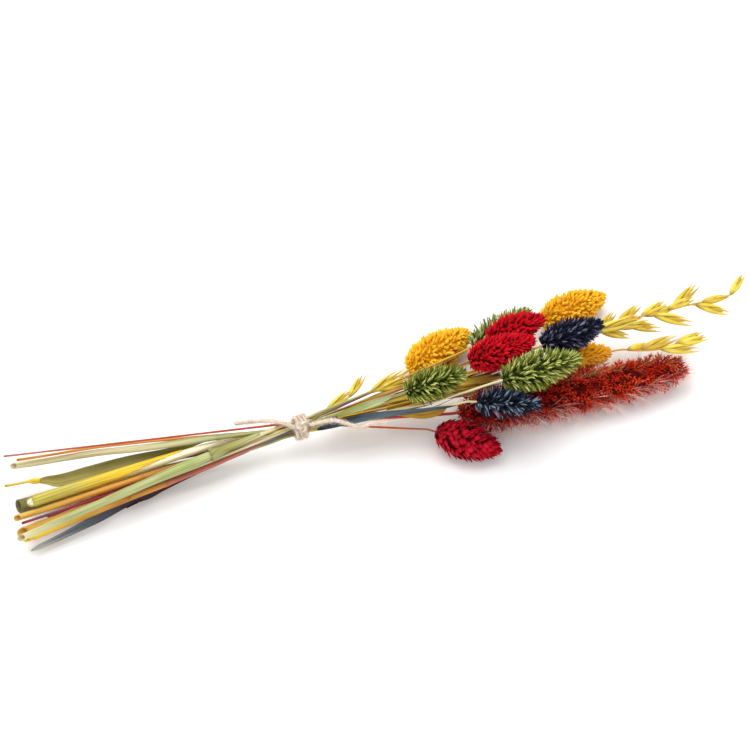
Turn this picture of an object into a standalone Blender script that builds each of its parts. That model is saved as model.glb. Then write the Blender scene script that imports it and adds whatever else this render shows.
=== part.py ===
"""A tied bunch of dried and dyed grasses, lying on its side.

Eleven heads of canary grass, one long foxtail, two sprays of oats and a few
loose leaves are held by a coil of jute twine. The cut ends point to -X and the
heads to +X. Lengths in the tables are in millimetres, from a point on the
surface right under the tie; TIE_PLACE sets that point in the part's own frame.
"""
import math

import bmesh
import bpy
import numpy as np
from mathutils import Matrix, Vector

MM = 0.001
TIE_PLACE = (-0.0493, 0.0055, 0.0)
GAP = 0.3                # room left between two pieces that touch

# Tie and twine
TIE_HEIGHT = 16.0        # middle of the bundle over the surface
TIE_RADIUS = 4.1         # the stems' own bundle inside the twine
TIE_HALF_WIDTH = 4.5
FLOOR_ROOM = 0.8         # least room under a stem
TWINE_DIAMETER = 1.8
TWINE_TURNS = 3
TWINE_PITCH = 2.15
KNOT_OUT = 7.4           # from the bundle's middle to the knot's, on the side that faces up and forward
KNOT_FACES = (0.0, -0.54, 0.84)
KNOT_RADIUS = 1.6
# The strand over the knot: along the bunch, outwards and across
KNOT_STRAND = ((-2.9, 0.1, 0.5), (-1.5, 1.1, 0.3), (0.0, 1.6, 0.0), (1.5, 1.1, -0.3), (2.9, 0.1, -0.5))

# Canary grass heads: colour, base, tip, full width, and whether it lies on the surface
HEADS = {
    "yellow_head_a": ("yellow", (66.9, 19.4, 10.5), (108.6, 32.3, 11.5), 19.5, True),
    "yellow_head_b": ("yellow", (144.8, 24.8, 11.0), (186.5, 30.4, 12.0), 18.5, True),
    "yellow_head_c": ("yellow", (138.4, -5.6, 14.0), (174.0, -8.6, 14.0), 15.0, False),
    "green_head_a": ("green", (102.5, 19.3, 14.0), (142.4, 31.0, 15.0), 17.5, False),
    "green_head_b": ("green", (102.3, -22.4, 39.0), (148.5, -23.5, 41.0), 21.0, False),
    "green_head_c": ("green", (53.2, -11.5, 37.0), (89.5, -12.7, 41.0), 18.0, False),
    "red_head_a": ("red", (107.3, 9.6, 30.0), (142.8, 12.6, 32.0), 17.0, False),
    "red_head_b": ("red", (91.1, -4.7, 37.5), (130.5, -4.7, 40.5), 18.0, False),
    "red_head_c": ("crimson", (66.2, -22.0, 11.0), (96.7, -46.1, 10.0), 19.0, True),
    "navy_head_a": ("navy", (131.6, -5.0, 33.0), (169.6, -3.8, 36.0), 17.5, False),
    "navy_head_b": ("navy", (85.8, -28.2, 36.0), (119.9, -40.9, 34.0), 16.5, False),
}
HEAD_AROUND = 9          # scales in one row round a head
HEAD_ROW = 2.9           # from one row of scales to the next
SCALE_HEIGHT = 3.7       # how far a scale's point stands off the core
SCALE_REACH = 3.7        # how far the point lies ahead of the scale's middle

# Foxtail: a long slim core that all its bristles stand out of
FOXTAIL_AXIS = ((80.6, -17.4, 15.0), (113.8, -22.1, 13.4), (157.5, -26.1, 13.0), (210.0, -30.0, 14.2))
FOXTAIL_WIDTH = 25.0
FOXTAIL_AROUND = 14
FOXTAIL_ROW = 4.0
BRISTLE_HEIGHT = 6.0
BRISTLE_REACH = 6.2

# Stems: colour, cut end, radii (at the cut, where the leaf sheaths end, in the tie, at the head), and head
STEMS = {
    "yellow_stem_a": ("straw_orange", (-151.8, -12.5, 7.0), (1.6, 1.5, 0.6, 0.6), "yellow_head_a"),
    "yellow_stem_b": ("straw_orange", (-152.9, -0.4, 9.5), (1.6, 1.4, 0.6, 0.6), "yellow_head_b"),
    "yellow_stem_c": ("straw_orange", (-144.0, 26.4, 20.5), (0.7, 0.7, 0.58, 0.6), "yellow_head_c"),
    "green_stem_a": ("straw_green", (-154.5, -16.1, 15.0), (1.7, 2.6, 0.75, 0.65), "green_head_a"),
    "green_stem_b": ("straw_cream", (-146.8, 26.9, 15.5), (1.7, 1.8, 0.65, 0.65), "green_head_b"),
    "green_stem_c": ("straw_cream", (-148.2, 3.6, 14.0), (2.6, 2.2, 0.6, 0.65), "green_head_c"),
    "red_stem_a": ("stem_red", (-128.0, -9.6, 11.0), (0.9, 0.8, 0.58, 0.55), "red_head_a"),
    "red_stem_b": ("stem_red", (-151.1, -6.8, 13.5), (0.7, 0.7, 0.58, 0.55), "red_head_b"),
    "red_stem_c": ("stem_red", (-137.0, -2.0, 5.0), (0.8, 0.8, 0.55, 0.5), "red_head_c"),
    "navy_stem_a": ("stem_navy", (-108.0, 14.0, 5.0), (0.9, 0.9, 0.58, 0.6), "navy_head_a"),
    "navy_stem_b": ("stem_navy", (-118.0, 17.6, 6.5), (0.9, 0.9, 0.58, 0.55), "navy_head_b"),
    "foxtail_stem": ("stem_rust", (-150.1, 28.2, 24.5), (0.5, 0.5, 0.6, 0.8), "foxtail_head"),
}
SHEATHS_END = -60.0      # along the bunch
WAIST_HALF_LENGTH = 12.0

# Oat sprays: cut end, radii, the main stalk past the stems, and each spikelet's place along it and tip
OATS = {
    "oat_spray_upper": {
        "cut": (-150.6, 10.3, 3.2),
        "radii": (3.6, 2.4, 1.0, 0.9),
        "stalk": ((145.0, -0.5, 22.5), (170.6, -0.2, 25.0), (190.5, -0.4, 26.0),
                  (207.2, -1.5, 27.0), (223.4, -3.8, 28.0), (239.1, -6.0, 29.0)),
        "spikelets": (
            (239.1, (252.4, 4.7, 31.0)),
            (222.9, (239.0, -5.6, 30.0)),
            (219.6, (237.1, -14.6, 26.5)),
            (207.5, (228.1, 8.1, 29.0)),
            (204.4, (221.8, -1.1, 31.0)),
            (196.0, (216.7, -13.2, 25.0)),
            (191.4, (210.5, -0.6, 27.0)),
            (190.0, (208.6, 5.5, 25.0)),
            (176.3, (194.1, 7.0, 27.0)),
            (179.2, (198.5, -12.3, 27.0)),
            (172.0, (191.5, 0.7, 26.0)),
            (165.4, (181.0, 9.9, 22.0)),
            (166.0, (182.6, -7.7, 22.0)),
        ),
    },
    "oat_spray_lower": {
        "cut": (-152.2, -6.3, 4.0),
        "radii": (2.6, 1.7, 0.85, 0.8),
        "stalk": ((143.5, -16.6, 26.0), (170.3, -15.3, 24.6), (179.2, -18.7, 24.9),
                  (189.6, -22.8, 26.0), (200.9, -24.7, 28.0)),
        "spikelets": (
            (200.9, (217.7, -27.0, 30.0)),
            (199.0, (218.1, -21.8, 27.5)),
            (191.0, (211.9, -30.9, 27.5)),
            (181.5, (203.5, -20.8, 29.5)),
            (175.0, (187.1, -17.7, 26.5)),
        ),
    },
}
STRAW_WALL = 1.1         # wall of the upper spray's thick straw, open at its cut end
STRAW_BORE = 6.0         # how deep that end is open
SPIKELET_WIDTH = 4.6
HUSK_BELLY = (0.0, 0.24, 0.85, 1.0, 0.82, 0.45, 0.0)   # share of the full width, stalk end to point
SPIKELET_SPREAD = 0.16   # angle in radians that each half of a spikelet leans outwards
# Two single spikelets low down, just past the tie: their halves, base to tip
LOOSE_OATS = {
    "oat_spikelet_low_a": (((16.4, 4.9, 17.2), (35.3, 12.4, 18.8)),
                           ((27.6, 8.3, 17.6), (41.6, 18.8, 18.0))),
    "oat_spikelet_low_b": (((39.1, 1.4, 26.4), (62.2, 8.2, 28.3)),
                           ((42.9, 1.6, 26.2), (63.4, 2.9, 26.3))),
}

# Leaf blades: colour, centre line, and the width at each of its points
LEAVES = {
    "sage_leaf": ("leaf_sage", ((18.4, -5.0, 23.8), (31.2, -8.9, 31.2), (41.4, -11.0, 36.1),
                                (48.0, -12.1, 39.5)), (2.2, 5.6, 7.0, 3.0)),
    "navy_leaf_upper": ("leaf_navy", ((7.6, -5.8, 17.6), (14.7, -7.8, 20.4), (32.0, -12.2, 25.6),
                                      (47.5, -16.9, 29.0), (62.1, -22.4, 32.6), (76.0, -27.3, 36.2)),
                        (2.8, 3.6, 4.6, 3.4, 2.2, 1.4)),
    "gold_leaf_low": ("leaf_gold", ((47.0, -8.2, 17.0), (61.6, -14.3, 16.0), (71.2, -15.4, 16.5),
                                    (78.0, -13.4, 18.0)), (1.6, 3.6, 3.2, 1.2)),
    "olive_leaf_mid": ("leaf_olive", ((66.3, -8.7, 26.2), (80.2, -8.3, 26.2), (94.3, -9.1, 26.0),
                                      (106.1, -9.2, 25.7)), (1.8, 4.4, 4.6, 1.6)),
    "olive_leaf_low": ("leaf_olive", ((-135.2, 15.4, 12.6), (-126.3, 13.4, 11.6), (-110.6, 13.4, 11.6),
                                      (-89.5, 12.6, 12.6), (-68.2, 11.0, 12.6), (-48.0, 9.9, 13.0)),
                       (1.6, 7.6, 9.4, 8.0, 4.6, 1.6)),
    "navy_leaf_low": ("leaf_navy", ((-151.1, -18.4, 4.0), (-135.0, -15.9, 4.6), (-115.0, -12.3, 5.4),
                                    (-97.0, -9.7, 6.9), (-85.4, -8.8, 7.6), (-75.0, -8.2, 8.4),
                                    (-52.0, -6.4, 10.4), (-28.6, -4.4, 12.0)),
                      (1.6, 3.4, 4.8, 2.4, 4.2, 1.8, 1.4, 1.2)),
}
BLADE_THICKNESS = 0.7
BLADE_ARCH = 0.16        # rise of a blade's edges, as a share of its width
BLADE_FACES = (0.0, -0.5, 0.87)
STEM_NECK = 3.2          # straight length of a stem right under its head
TWIG = ((-153.4, 18.6, 12.2), (-147.0, 17.8, 12.2), (-141.8, 17.3, 12.3), (-139.4, 16.6, 12.5),
        (-135.9, 15.5, 12.7))
TWIG_RADII = (0.7, 0.6, 0.7, 1.5, 1.3)

# Twine tails, each a free length of the same cord
TAILS = {
    "twine_tail_left": ((-4.0, -3.4, 22.6), (-8.5, 0.1, 23.6), (-12.1, 2.5, 23.4), (-17.3, 5.8, 22.2),
                        (-23.6, 9.4, 19.6), (-31.0, 14.0, 15.2)),
    "twine_tail_right": ((4.0, -4.4, 22.2), (9.0, -6.2, 24.6), (15.5, -8.4, 26.4), (21.2, -13.5, 27.6),
                         (26.9, -17.9, 27.4), (33.8, -17.3, 27.2), (41.7, -18.6, 26.0)),
}
TAIL_STEP = 2.6          # from one point of a tail's tube to the next

# Places along the bunch at which the stems' routes are worked out
STATIONS = (-155, -130, -105, -82, -62, -45, -30, -18, -9.5, -4.4, 4.4, 9.5, 17, 26, 36, 46, 57, 68, 79,
            90, 101, 112, 124, 136, 148, 160)
ROUTE_ROUNDS = 900
ROUTE_SMOOTHING = 0.12
LEAN_ALLOWANCE = 1.07    # stems cross the stations at a slant, which takes more room
LARGEST_PUSH = 0.6       # how far one round may push a stem aside
SETTLING_SHARE = 0.85    # share of the rounds that smooth as well as push
GOLDEN_ANGLE = math.pi * (3 - math.sqrt(5))

COLOURS = {
    "yellow": ((0.90, 0.47, 0.02), 0.75),
    "green": ((0.20, 0.31, 0.07), 0.75),
    "red": ((0.62, 0.01, 0.02), 0.75),
    "crimson": ((0.48, 0.01, 0.03), 0.70),
    "navy": ((0.02, 0.03, 0.08), 0.70),
    "rust": ((0.42, 0.04, 0.015), 0.80),
    "oat": ((0.72, 0.52, 0.08), 0.60),
    "straw_orange": ((0.75, 0.42, 0.09), 0.50),
    "straw_green": ((0.50, 0.53, 0.27), 0.50),
    "straw_cream": ((0.70, 0.65, 0.42), 0.50),
    "stem_red": ((0.50, 0.10, 0.06), 0.55),
    "stem_navy": ((0.10, 0.10, 0.14), 0.55),
    "stem_rust": ((0.60, 0.12, 0.04), 0.55),
    "leaf_sage": ((0.30, 0.36, 0.20), 0.65),
    "leaf_navy": ((0.07, 0.10, 0.15), 0.65),
    "leaf_gold": ((0.55, 0.34, 0.05), 0.60),
    "leaf_olive": ((0.30, 0.28, 0.08), 0.65),
    "twine": ((0.66, 0.52, 0.38), 0.90),
}


def make_material(name):
    colour, roughness = COLOURS[name]
    material = bpy.data.materials.get(name) or bpy.data.materials.new(name)
    material.use_nodes = True
    shader = material.node_tree.nodes["Principled BSDF"]
    shader.inputs["Base Color"].default_value = (*colour, 1.0)
    shader.inputs["Roughness"].default_value = roughness
    shader.inputs["Metallic"].default_value = 0.0
    return material


def add_object(name, data, colour):
    """Put new data into the bunch under its own name and material."""
    obj = bpy.data.objects.new(name, data)
    bpy.data.collections["dried_bouquet"].objects.link(obj)
    obj.parent = bpy.data.objects["tie_frame"]
    if not data.materials:
        data.materials.append(make_material(colour))
    return obj


def smooth_line(points, step):
    """Points about a step apart on a smooth curve through the given ones."""
    fixed = [2 * points[0] - points[1], *points, 2 * points[-1] - points[-2]]
    line = []
    for before, start, end, after in zip(fixed, fixed[1:], fixed[2:], fixed[3:]):
        count = max(1, round(np.linalg.norm(end - start) / step))
        for u in np.arange(count) / count:
            line.append(0.5 * (2 * start + (end - before) * u
                               + (2 * before - 5 * start + 4 * end - after) * u ** 2
                               + (3 * start - before - 3 * end + after) * u ** 3))
    return np.array([*line, points[-1]])


def spike_outline(t):
    """Share of the full core radius at t, from the base (0) to the tip (1) of an egg-shaped head."""
    return math.sin(math.pi * min(max(t, 0.0), 1.0) ** 0.82) ** 0.62


def foxtail_outline(t):
    """Share of the full core radius of the foxtail, blunt at its base and drawn out at its tip."""
    return min(1.0, (t * 9.0) ** 0.6) * (1.0 - t) ** 0.24


def scaly_spike(name, colour, axis, width, around, row, height, reach, outline, rests):
    """A core whose staggered diamonds each rise to a point that leans to the tip.

    The diamonds share their corners all round and no primitive has that pattern,
    so the rings of corners are laid out first and each diamond gets its four faces.
    """
    line = smooth_line([np.array(p) for p in axis], 1.0)
    travelled = np.concatenate([[0.0], np.cumsum(np.linalg.norm(np.diff(line, axis=0), axis=1))])
    core_length = travelled[-1] - 0.75 * reach
    core_radius = width / 2 - height
    rows = round(core_length / row)

    def place(distance, radius, angle):
        centre = np.array([np.interp(distance, travelled, line[:, k]) for k in range(3)])
        if distance > travelled[-1]:
            centre = line[-1] + (distance - travelled[-1]) * ahead_at(travelled[-1])
        ahead = ahead_at(distance)
        side = np.cross(ahead, (0.0, 0.0, 1.0))
        side = side / np.linalg.norm(side)
        up = np.cross(side, ahead)
        return centre + radius * (math.cos(angle) * side + math.sin(angle) * up)

    def ahead_at(distance):
        k = min(int(np.searchsorted(travelled, distance)), len(line) - 2)
        step = line[min(k + 3, len(line) - 1)] - line[max(k - 3, 0)]
        return step / np.linalg.norm(step)

    mesh = bmesh.new()
    share = [(k + 0.35) / (rows + 0.7) for k in range(rows + 1)]
    rings = []
    for k, t in enumerate(share):
        angles = [2 * math.pi * (i + 0.5 * (k % 2)) / around for i in range(around)]
        radius = core_radius * outline(t)
        rings.append([mesh.verts.new(place(core_length * t, radius, a)) for a in angles])
    for k in range(1, rows):
        t = share[k]
        full = outline(t)
        rise = height * (0.30 + 0.70 * full)
        for i in range(around):
            angle = 2 * math.pi * (i + 0.5 * ((k + 1) % 2)) / around
            left = rings[k][i if k % 2 == 0 else (i - 1) % around]
            right = rings[k][(i + 1) % around if k % 2 == 0 else i]
            below, above = rings[k - 1][i], rings[k + 1][i]
            lean = reach * min(1.0, 0.5 + 3.0 * t)
            point = mesh.verts.new(place(core_length * t + lean, core_radius * full + rise, angle))
            for first, second in ((below, right), (right, above), (above, left), (left, below)):
                mesh.faces.new((first, second, point))
    for ring, inner, end in ((rings[0], rings[1], 0.0), (rings[-1], rings[-2], core_length)):
        pole = mesh.verts.new(place(end, 0.0, 0.0))
        odd = len(rings) % 2 == 0 and ring is rings[-1]
        for i in range(around):
            after = (i + 1) % around
            between = inner[after if odd else i]
            mesh.faces.new((ring[i], ring[after], between))
            mesh.faces.new((ring[after], ring[i], pole))
    bmesh.ops.recalc_face_normals(mesh, faces=mesh.faces)
    if rests:
        lowest = min(v.co.z for v in mesh.verts)
        bmesh.ops.translate(mesh, verts=mesh.verts, vec=(0.0, 0.0, -lowest))
    bmesh.ops.scale(mesh, verts=mesh.verts, vec=(MM, MM, MM))
    data = bpy.data.meshes.new(name)
    mesh.to_mesh(data)
    mesh.free()
    return add_object(name, data, colour)


def tube(name, colour, points, radii, sides_level=1):
    """A round stem or cord with filled ends, through the points and with its own radius at each."""
    data = bpy.data.curves.new(name, "CURVE")
    data.dimensions = "3D"
    data.bevel_depth = MM
    data.bevel_resolution = sides_level
    data.use_fill_caps = True
    spline = data.splines.new("POLY")
    spline.points.add(len(points) - 1)
    for target, point, radius in zip(spline.points, points, radii):
        target.co = (*(MM * c for c in point), 1.0)
        target.radius = radius
    spline.use_smooth = True
    return add_object(name, data, colour)


def made_mesh(obj):
    """The object as a plain closed mesh, its caps welded and its modifiers applied."""
    evaluated = obj.evaluated_get(bpy.context.evaluated_depsgraph_get())
    data = bpy.data.meshes.new_from_object(evaluated)
    mesh = bmesh.new()
    mesh.from_mesh(data)
    bmesh.ops.remove_doubles(mesh, verts=mesh.verts, dist=0.01 * MM)
    mesh.to_mesh(data)
    mesh.free()
    name, source = obj.name, obj.data
    bpy.data.objects.remove(obj)
    if isinstance(source, bpy.types.Curve):
        bpy.data.curves.remove(source)
    data.name = name
    return add_object(name, data, None)


def husk(name, base, tip, width, colour="oat"):
    """One boat-shaped half of an oat spikelet: a slim six-sided spindle, flatter than it is wide."""
    base, tip = Vector(base), Vector(tip)
    ahead = (tip - base).normalized()
    side = ahead.cross(Vector(BLADE_FACES)).normalized()
    up = side.cross(ahead)
    length = (tip - base).length
    mesh = bmesh.new()
    bmesh.ops.create_uvsphere(mesh, u_segments=6, v_segments=len(HUSK_BELLY) - 1, radius=1.0)
    for vert in mesh.verts:
        t = math.acos(max(-1.0, min(1.0, -vert.co.z))) / math.pi
        belly = 0.5 * width * HUSK_BELLY[round(t * (len(HUSK_BELLY) - 1))]
        round_about = math.atan2(vert.co.y, vert.co.x)
        vert.co = MM * (base + ahead * (length * t) + side * (belly * math.cos(round_about))
                        + up * (0.62 * belly * math.sin(round_about)))
    bmesh.ops.remove_doubles(mesh, verts=mesh.verts, dist=0.02 * MM)
    bmesh.ops.recalc_face_normals(mesh, faces=mesh.faces)
    data = bpy.data.meshes.new(name)
    mesh.to_mesh(data)
    mesh.free()
    data.shade_smooth()
    return add_object(name, data, colour)


def fuse(body, extras):
    """Join the extras to the body as one closed solid."""
    body = made_mesh(body)
    group = bpy.data.collections.new("to_join")
    for extra in extras:
        group.objects.link(extra)
    union = body.modifiers.new("union", "BOOLEAN")
    union.operation = "UNION"
    union.operand_type = "COLLECTION"
    union.collection = group
    union.solver = "EXACT"
    body = made_mesh(body)
    for extra in extras:
        bpy.data.objects.remove(extra)
    bpy.data.collections.remove(group)
    return body


def spikelet(name, base, tip):
    """Two husks that part towards their tips."""
    base, tip = np.array(base), np.array(tip)
    ahead = tip - base
    side = np.cross(ahead, BLADE_FACES)
    side = side / np.linalg.norm(side) * np.linalg.norm(ahead) * SPIKELET_SPREAD
    halves = []
    for which, share in (("near", 1.0), ("far", -1.0)):
        root = base + share * 0.02 * side - 0.06 * ahead
        point = tip + share * 0.55 * side - (0.1 if which == "far" else 0.0) * ahead
        halves.append(husk(f"{name}_{which}", root, point, SPIKELET_WIDTH))
    return halves


def leaf(name, colour, points, widths):
    """A thin blade, arched across its width, with room for its rib."""
    places = [np.array(p) for p in points]
    line = smooth_line(places, 6.0)
    knots = [min(range(len(line)), key=lambda k: np.linalg.norm(line[k] - p)) for p in places]
    width = np.interp(range(len(line)), knots, widths)
    mesh = bmesh.new()
    bmesh.ops.create_grid(mesh, x_segments=len(line) - 1, y_segments=2, size=1.0)
    for vert in mesh.verts:
        k = round((vert.co.x + 1) / 2 * (len(line) - 1))
        across = vert.co.y
        ahead = line[min(k + 1, len(line) - 1)] - line[max(k - 1, 0)]
        side = np.cross(BLADE_FACES, ahead)
        side = side / np.linalg.norm(side)
        up = np.cross(ahead, side)
        up = up / np.linalg.norm(up)
        vert.co = MM * (line[k] + side * (across * width[k] / 2) + up * (BLADE_ARCH * width[k] * across ** 2))
    bmesh.ops.triangulate(mesh, faces=mesh.faces)
    data = bpy.data.meshes.new(name)
    mesh.to_mesh(data)
    mesh.free()
    obj = add_object(name, data, colour)
    blade = obj.modifiers.new("thickness", "SOLIDIFY")
    blade.thickness = BLADE_THICKNESS * MM
    blade.offset = 0.0
    return obj


def leaf_sections(points, widths):
    """Small circles that fill a blade's section at each station it passes, as (station, y, z, radius)."""
    line = np.array(points)
    circles = []
    for k, x in enumerate(STATIONS):
        if not line[0, 0] - 4 < x < line[-1, 0] + 4:
            continue
        centre = np.array([np.interp(x, line[:, 0], line[:, c]) for c in (1, 2)])
        half = np.interp(x, line[:, 0], widths) / 2
        side = np.array([BLADE_FACES[2], -BLADE_FACES[1]])
        for across in np.linspace(-1, 1, 5):
            rise = (0.0, BLADE_ARCH * 2 * half * across ** 2)
            circles.append((k, *(centre + side * half * across + rise), BLADE_THICKNESS))
    return circles


def round_sections(points, radii):
    """Circles of a straight or bent round piece, with a radius at each of its points or one for all."""
    line = np.array(points)
    radii = np.broadcast_to(radii, len(line))
    return [(k, *(np.interp(x, line[:, 0], value) for value in (line[:, 1], line[:, 2], radii)))
            for k, x in enumerate(STATIONS) if line[0, 0] - 4 < x < line[-1, 0] + 4]


def head_sections(base, tip, width):
    """Circles of a head at each station it passes, as wide as its scales stand."""
    base, tip = np.array(base), np.array(tip)
    circles = []
    for k, x in enumerate(STATIONS):
        t = (x - base[0]) / (tip[0] - base[0])
        if -0.15 < t < 1.1:
            centre = base + (tip - base) * t
            radius = width / 2 * max(0.35, spike_outline(0.1 + 0.9 * min(max(t, 0.0), 1.0)))
            circles.append((k, centre[1], centre[2], radius + 0.6))
    return circles


def head_starts():
    """The last two points of each head's stem, straight behind it, once resting heads are set down."""
    starts = {}
    for name in [*HEADS, "foxtail_head"]:
        verts = bpy.data.objects[name].data.vertices
        pole = np.array(verts[len(verts) - 2].co) / MM
        axis = np.array(FOXTAIL_AXIS if name == "foxtail_head" else HEADS[name][1:3])
        ahead = (axis[1] - axis[0]) / np.linalg.norm(axis[1] - axis[0])
        starts[name] = (pole - GAP * ahead, pole - STEM_NECK * ahead)
    return starts


def stem_routes(strands, circles):
    """Bend all stems clear of one another, of the heads and leaves, and of the surface.

    Every stem starts as a straight line from its cut end to the tie and on to its
    head. Then all of them are smoothed and pushed apart in turn, section by section.
    """
    names = list(strands)
    stations = np.array(STATIONS, float)
    count = len(names)
    lines = np.zeros((len(stations), count, 2))
    radii = np.zeros((len(stations), count))
    first = np.zeros(count, int)
    last = np.zeros(count, int)
    for i, name in enumerate(names):
        cut, (thick, sheath, waist, thin), goal = strands[name]
        tie = np.array([0.0, 0.0, TIE_HEIGHT])
        angle = GOLDEN_ANGLE * i
        out = 0.75 * TIE_RADIUS * math.sqrt((i + 0.5) / count)
        tie[1:] += out * np.array([math.cos(angle), math.sin(angle)])
        knots = np.array([cut, tie, goal])
        for axis in (0, 1):
            lines[:, i, axis] = np.interp(stations, knots[:, 0], knots[:, axis + 1])
        changes = [cut[0], SHEATHS_END, -WAIST_HALF_LENGTH, WAIST_HALF_LENGTH, goal[0]]
        radii[:, i] = np.interp(stations, changes, [thick, sheath, waist, waist, thin])
        first[i] = int(np.searchsorted(stations, cut[0] + 4.0))
        last[i] = int(np.searchsorted(stations, goal[0] - 3.0)) - 1
    order = np.arange(len(stations))[:, None]
    there = (order >= first) & (order <= last)
    left, right = np.triu_indices(count, 1)
    needed = (radii[:, left] + radii[:, right]) * LEAN_ALLOWANCE + GAP
    both = there[:-1, left] & there[1:, left] & there[:-1, right] & there[1:, right]
    spans = np.maximum(needed[:-1], needed[1:])
    goals = np.array([strands[n][2] for n in names])
    cuts = np.array([strands[n][0] for n in names])
    for turn in range(ROUTE_ROUNDS):
        strength = ROUTE_SMOOTHING if turn < SETTLING_SHARE * ROUTE_ROUNDS else 0.0
        padded = np.concatenate([lines[:1], lines, lines[-1:]])
        places = np.concatenate([stations[:1] - 20, stations, stations[-1:] + 20])
        before, after = padded[:-2].copy(), padded[2:].copy()
        x_before = np.repeat(places[:-2, None], count, axis=1)
        x_after = np.repeat(places[2:, None], count, axis=1)
        for i in range(count):
            before[first[i], i], x_before[first[i], i] = cuts[i, 1:], cuts[i, 0]
            after[last[i], i], x_after[last[i], i] = goals[i, 1:], goals[i, 0]
        share = ((stations[:, None] - x_before) / (x_after - x_before))[..., None]
        lines += strength * there[..., None] * (before + (after - before) * share - lines)
        offset = lines[:, left] - lines[:, right]
        change = offset[1:] - offset[:-1]
        along = -(offset[:-1] * change).sum(axis=2) / ((change * change).sum(axis=2) + 1e-9)
        along = np.clip(along, 0.0, 1.0)
        nearest = offset[:-1] + along[..., None] * change
        distance = np.linalg.norm(nearest, axis=2)
        across = np.stack([-change[..., 1], change[..., 0]], axis=2) + np.array([0.0, 1e-6])
        across /= np.linalg.norm(across, axis=2, keepdims=True)
        direction = np.where(distance[..., None] > 0.05, nearest / (distance[..., None] + 1e-9), across)
        push = np.where(both & (distance < spans), 0.5 * (spans - distance), 0.0)[..., None] * direction
        moves = np.zeros_like(lines)
        for part, weight in ((slice(None, -1), 1 - along), (slice(1, None), along)):
            shift = push * weight[..., None] * 0.9
            for side, sign in ((left, 1.0), (right, -1.0)):
                np.add.at(moves[part], (slice(None), side), sign * shift)
        for k, y, z, radius in circles:
            away = lines[k] - (y, z)
            reach = np.linalg.norm(away, axis=1)
            room = radius + radii[k] * LEAN_ALLOWANCE + GAP
            inside = there[k] & (reach < room)
            moves[k][inside] += (away / (reach[:, None] + 1e-9) * (room - reach)[:, None])[inside]
        lines += np.clip(moves, -LARGEST_PUSH, LARGEST_PUSH) * there[..., None]
        floor = radii + FLOOR_ROOM
        lines[..., 1] = np.where(there, np.maximum(lines[..., 1], floor), lines[..., 1])
        for k in np.flatnonzero(np.abs(stations) <= TIE_HALF_WIDTH):
            off = lines[k] - (0.0, TIE_HEIGHT)
            reach = np.linalg.norm(off, axis=1)
            limit = TIE_RADIUS - radii[k]
            lines[k] -= off * (np.maximum(0.0, reach - limit) / (reach + 1e-9))[:, None]
    routes = {}
    for i, name in enumerate(names):
        inner = [(stations[k], *lines[k, i]) for k in range(first[i], last[i] + 1)]
        thick, _, _, thin = strands[name][1]
        routes[name] = (np.array([strands[name][0], *inner, strands[name][2]]),
                        [thick, *radii[first[i]:last[i] + 1, i], thin])
    return routes


def build_heads():
    for name, (colour, base, tip, width, rests) in HEADS.items():
        scaly_spike(name, colour, (base, tip), width, HEAD_AROUND, HEAD_ROW, SCALE_HEIGHT, SCALE_REACH,
                    spike_outline, rests)
    scaly_spike("foxtail_head", "rust", FOXTAIL_AXIS, FOXTAIL_WIDTH, FOXTAIL_AROUND, FOXTAIL_ROW,
                BRISTLE_HEIGHT, BRISTLE_REACH, foxtail_outline, True)


def build_stems():
    starts = head_starts()
    strands = {}
    for name, (_, cut, radii, head) in STEMS.items():
        strands[name] = (cut, radii, starts[head][1])
    for name, oat in OATS.items():
        strands[name] = (oat["cut"], oat["radii"], np.array(oat["stalk"][0]))
    circles = []
    for _, base, tip, width, _ in HEADS.values():
        circles += head_sections(base, tip, width)
    circles += round_sections(FOXTAIL_AXIS, FOXTAIL_WIDTH / 2 + 0.3)
    for _, points, widths in LEAVES.values():
        circles += leaf_sections(points, widths)
    for halves in LOOSE_OATS.values():
        for base, tip in halves:
            middle = (np.array(base) + tip) / 2
            circles += round_sections((base, middle, tip), (0.3, SPIKELET_WIDTH / 2 - 0.6, 0.3))
    for points in TAILS.values():
        ordered = points if points[0][0] < points[-1][0] else points[::-1]
        circles += round_sections(ordered, TWINE_DIAMETER / 2 + 0.2)
    routes = stem_routes(strands, circles)
    for name, (colour, _, _, head) in STEMS.items():
        points, radii = routes[name]
        tube(name, colour, [*points, starts[head][0]], [*radii, radii[-1]])
    return {name: routes[name] for name in OATS}


def build_oats(routes):
    for name, oat in OATS.items():
        points, radii = routes[name]
        stalk = smooth_line([np.array(p) for p in oat["stalk"]], 9.0)[1:]
        thin = np.linspace(radii[-1], 0.6, len(stalk) + 1)[1:]
        body = tube(name, "oat", [*points, *stalk], [*radii, *thin], 2)
        extras = []
        for k, (along, tip) in enumerate(oat["spikelets"]):
            base = [np.interp(along, stalk[:, 0], stalk[:, axis]) for axis in range(3)]
            extras += spikelet(f"{name}_{k}", base, tip)
        body = fuse(body, extras)
        if name == "oat_spray_upper":
            open_straw(body, points, radii[0])
    for name, halves in LOOSE_OATS.items():
        near, far = (husk(f"{name}_{k}", base, tip, SPIKELET_WIDTH) for k, (base, tip) in enumerate(halves))
        near.name = name
        fuse(near, [far])


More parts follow.
